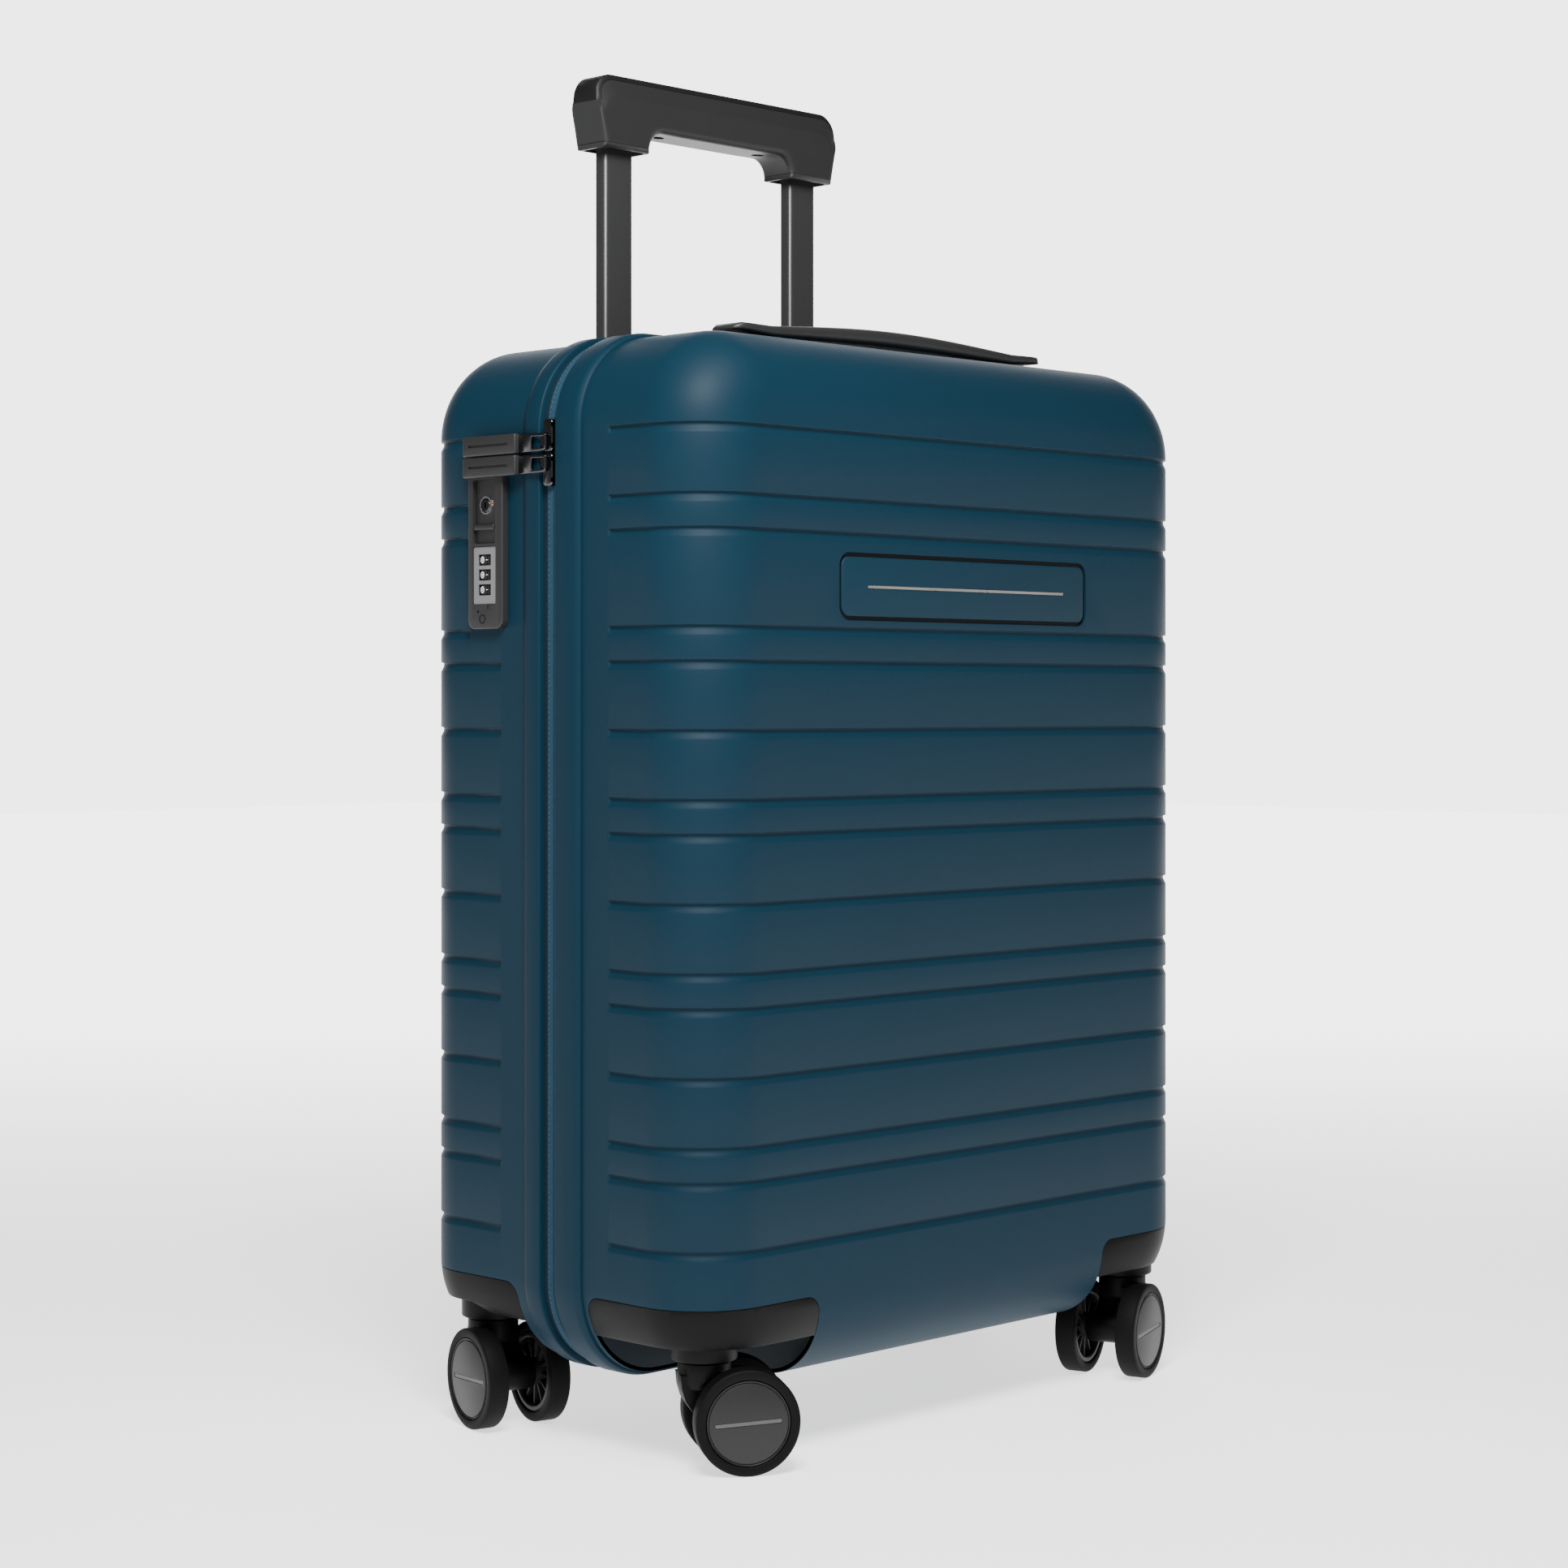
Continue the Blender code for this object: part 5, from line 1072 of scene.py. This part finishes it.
def make_lock():
    dials = {number: joint_place(f"dial_{number}_turn") - SHIFT for number in (1, 2, 3)}
    face = LOCK_FACE
    low, high = (face, LOCK_Y[0], LOCK_Z[0]), (-SHELL_SIDE - 0.0003, LOCK_Y[1], LOCK_Z[1])
    plate = rounded_box(low, high, 0, 0.005, 10)
    round_face(plate, 0, face, 0.001, 4)
    back = box((face + 0.002, 0.0364, 0.4137), (face + 0.0168, 0.0544, 0.4793))
    cutters = [
        lock_slab(*LOCK_RECESS, 0.002),
        lock_slab(*DIAL_PANEL, 0.0009),
        lock_disc(face, 0.0037, 0.0075),
        lock_disc(face, 0.0007, 0.002, 0.05, 0.4148, 24),
        lock_slab((0.0405, 0.043), (0.416, 0.4182), 0.0003, radius=0.0003),
    ]
    for place in dials.values():
        cutters.append(lock_slab((0.0409, 0.0499), (place.z - 0.0026, place.z + 0.0026), 0.0082, radius=0.0003))
    housing = cut(united(plate, back), *cutters)
    add_piece("lock_plate", housing, "lock_plastic", "back_half", "lock_housing", sharp=40)
    holes = [
        lock_slab((0.0407, 0.0501), (place.z - 0.0028, place.z + 0.0028), 0.009, radius=0.0003)
        for place in dials.values()
    ]
    panel = cut(lock_slab((0.0367, 0.0538), (0.4187, 0.4473), 0.0009, -0.0005), *holes)
    add_piece("lock_dial_panel", panel, "dial_panel", "back_half")
    floor = box((face + 0.0018, 0.0372, 0.4492), (face + 0.002, 0.0538, 0.4808))
    floor = cut(floor, lock_disc(face, 0.0041, 0.01))
    add_piece("lock_recess_floor", floor, "lock_dark", "back_half")
    ring = cut(lock_disc(face + 0.0017, 0.0046, 0.001), lock_disc(face, 0.0037, 0.01))
    add_piece("lock_key_ring", ring, "steel", "back_half")
    for number, place in dials.items():
        make_dial(number, place)
    key = [(0.0, 0.003), (KEY_RADIUS, 0.003), (KEY_RADIUS, 0.0003), (KEY_RADIUS - 0.0003, 0.0), (0.0, 0.0)]
    key = turned(key, 48, closed=False)
    slit = rounded_box((-0.0017, -0.0005, -0.01), (0.0017, 0.0005, 0.0013), 2, 0.0003, 2)
    key_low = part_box("lock_key_cylinder")[0].x
    place = Matrix.Translation((key_low, SHIFT.y + LOCK_AXIS_Y, KEY_Z)) @ Matrix.Rotation(math.pi / 2, 4, "Y")
    add_piece("lock_key_plug", cut(key, slit), "gunmetal", "key_body", "lock_key_cylinder", place)
    mark("lock_open_mark", 0.0405, KEY_Z, (0.0009, 0.0009), "orange_mark", "back_half", face + 0.0017)
    mark("lock_plain_mark", 0.0467, 0.4111, (0.0048, 0.0048), "gunmetal", "back_half", face - 0.0001, 0.72)
    low, high = (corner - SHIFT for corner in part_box("lock_release_bar"))
    bar = rounded_box(low, high, 1, 0.0005, 3, 0.0002, 1)
    body, node = "release_body", "lock_release_bar"
    add_piece("release_slider", bar, "lock_plastic", body, node)


def make_slider(label, pivot):
    """A zip slider with its bail, through which the puller hangs."""
    low, high = (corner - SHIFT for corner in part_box(f"zip_slider_{label}"))
    face = high.x - 0.0031
    body = rounded_box((face, low.y + 0.0002, low.z), (high.x, 0.0021, high.z), 0, 0.0022, 6)
    round_face(body, 0, face, 0.0007, 3)
    middle = (low.z + high.z) / 2
    waist = [cylinder((face, low.y - 0.0006, middle + way * 0.0052), 0.0016, 0.02, "X", 32) for way in (1, -1)]
    x, y, z = pivot
    ends = (x - 0.0021, y - 0.0021, z - 0.0023), (face + 0.0006, y + 0.0021, z + 0.0023)
    bail = rounded_box(*ends, 2, 0.0013, 5)
    window = box((x - 0.001, y - 0.001, z - PAST), (x + 0.001, y + 0.001, z + PAST))
    slider = cut(united(body, bail), window, *waist)
    node = f"zip_slider_{label}"
    add_piece(f"slider_{label}", slider, "gunmetal", f"slider_{label}", node, sharp=40)


def make_puller(label):
    """A slider, and its puller lying over the top of the lock."""
    pivot = joint_place(f"zip_puller_{label}_swing") - SHIFT
    make_slider(label, pivot)
    body, node = f"puller_{label}", f"zip_puller_{label}"
    low, high = (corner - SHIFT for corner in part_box(node))
    top, far = low.x, high.y
    ends = (top, 0.018, low.z + 0.0001), (LOCK_FACE - 0.0005, far, high.z - 0.0001)
    plate = rounded_box(*ends, 0, 0.001, 4)
    round_face(plate, 0, top, 0.0008, 3)
    ends = (top - PAST, 0.0235, pivot.z - 0.0006), (top + 0.0008, far - 0.0045, pivot.z + 0.0006)
    plate = cut(plate, rounded_box(*ends, 0, 0.0005, 3))
    add_piece(f"puller_cover_{label}", plate, "lock_plastic", body, node, sharp=45)
    half = (high.z - low.z) / 2
    upper = [(-0.0017, 0.0036), (-0.0006, 0.0043), (0.004, 0.0045)]
    upper += [(0.0092, half - 0.0006), (0.0182, half - 0.0004)]
    around = [(y, -z) for y, z in reversed(upper)] + upper
    metal_end = extruded([(y, pivot.z + z) for y, z in around], 0, pivot.x - 0.0008, pivot.x + 0.0008)
    hole = [(0.0086, -0.003), (0.0086, 0.003), (-0.0003, 0.0027), (-0.0003, -0.0027)]
    hole = extruded([(y, pivot.z + z) for y, z in hole], 0, pivot.x - PAST, pivot.x + PAST)
    metal_end = softened(cut(metal_end, hole), 0.0003, 2, 40)
    add_piece(f"puller_loop_{label}", metal_end, "gunmetal", body, sharp=45)


# ==== inside


def make_inside():
    """The inner pieces keep the frame's own shapes, with their finishes."""
    looks = {
        "front_lining": "lining_cloth", "back_lining": "lining_cloth", "hinge_gusset": "lining_cloth",
        "packing_straps": "strap_webbing", "handle_tray": "black_plastic", "tube_base": "black_plastic",
        "tube_outer_left": "tube_metal", "tube_outer_right": "tube_metal",
    }
    for node, look in looks.items():
        mesh = NODES[node].data
        mesh.materials.clear()
        finish(mesh, look, 32)


# ==== stage


def make_stage():
    floor = bmesh.new()
    bmesh.ops.create_grid(floor, x_segments=1, y_segments=1, size=8)
    made = linked("floor", floor)
    shader = Shader("floor_white_painted_glow", (0.93, 0.93, 0.93), 0.75, specular=0.1)
    away = shader.tree.nodes.new("ShaderNodeVectorMath")
    away.operation = "DOT_PRODUCT"
    away.inputs[1].default_value = BACKDROP
    shader.link(shader.coordinates, away.inputs[0])
    glow = shader.tree.nodes.new("ShaderNodeMapRange")
    glow.interpolation_type = "SMOOTHSTEP"
    for key, value in zip(RAMP_INPUTS, FLOOR_GLOW):
        glow.inputs[key].default_value = value
    shader.link(away.outputs["Value"], glow.inputs["Value"])
    # painted light: the floor glows, less near the suitcase, where this lifts its cast shadow, and more far
    # behind it, where it meets the backdrop
    shader.main.inputs["Emission Color"].default_value = (1, 1, 1, 1)
    shader.link(glow.outputs["Result"], shader.main.inputs["Emission Strength"])
    made.data.materials.append(shader.grain(60, 0.02).mottled(3, 0.01).material)

    world = bpy.data.worlds.new("studio")
    bpy.context.scene.world = world
    world.use_nodes = True
    tree = world.node_tree
    place = tree.nodes.new("ShaderNodeTexCoord").outputs["Generated"]
    facing = tree.nodes.new("ShaderNodeVectorMath")
    facing.operation = "DOT_PRODUCT"
    facing.inputs[1].default_value = BACKDROP
    ramp = tree.nodes.new("ShaderNodeMapRange")
    ramp.interpolation_type = "SMOOTHSTEP"
    for key, value in zip(RAMP_INPUTS, WORLD_RAMP):
        ramp.inputs[key].default_value = value
    tree.links.new(place, facing.inputs[0])
    tree.links.new(facing.outputs["Value"], ramp.inputs["Value"])
    tree.links.new(ramp.outputs["Result"], tree.nodes["Background"].inputs["Strength"])
    tree.nodes["Background"].inputs["Color"].default_value = (1, 1, 1, 1)
    for name, place, aim, size, power in LIGHTS:
        data = bpy.data.lights.new(name, "AREA")
        data.shape = "RECTANGLE"
        data.size, data.size_y = size
        data.energy = power
        light = bpy.data.objects.new(name, data)
        bpy.context.scene.collection.objects.link(light)
        light.location = place
        light.rotation_euler = (Vector(aim) - Vector(place)).to_track_quat("-Z", "Y").to_euler()

    data = bpy.data.cameras.new("camera")
    data.lens = CAMERA_LENS
    data.shift_y = CAMERA_SHIFT
    camera = bpy.data.objects.new("camera", data)
    bpy.context.scene.collection.objects.link(camera)
    camera.location = CAMERA_PLACE + SHIFT
    camera.rotation_euler = (math.pi / 2, 0, -math.radians(CAMERA_HEADING))
    bpy.context.scene.camera = camera


CAMERA_PLACE = Vector((-1.2333, -1.1773, 0.3695))
CAMERA_HEADING = 45.7
CAMERA_LENS = 73.03
CAMERA_SHIFT = -0.0523
BACKDROP = (0.7, 0.7, 0.0)  # the side of the studio behind the suitcase
RAMP_INPUTS = ("From Min", "From Max", "To Min", "To Max")
WORLD_RAMP = (0.7, 0.93, 0.14, 4.0)
# painted light: the floor's glow, which also lifts the shadow under the suitcase
FLOOR_GLOW = (0.15, 2.2, 1.3, 4.0)  # the floor's own light, from the suitcase to far behind it
LIGHTS = (
    ("overhead", (-0.35, -0.65, 1.45), (-0.05, 0.0, 0.5), (0.6, 0.6), 8.5),
    ("front_left", (-0.68, -0.6, 1.1), (-0.16, -0.06, 0.48), (0.4, 0.4), 26),
)


# ==== assembly

make_shell(-1, "front_shell", "front_half")
make_shell(1, "back_shell", "back_half")
make_bands()
make_badge()
for corner, (corner_x, corner_y) in CORNERS.items():
    make_caster(corner, corner_x, corner_y)
make_tubes()
make_grip()
make_carry_handle()
make_lock()
for which in ("upper", "lower"):
    make_puller(which)
make_inside()
make_stage()
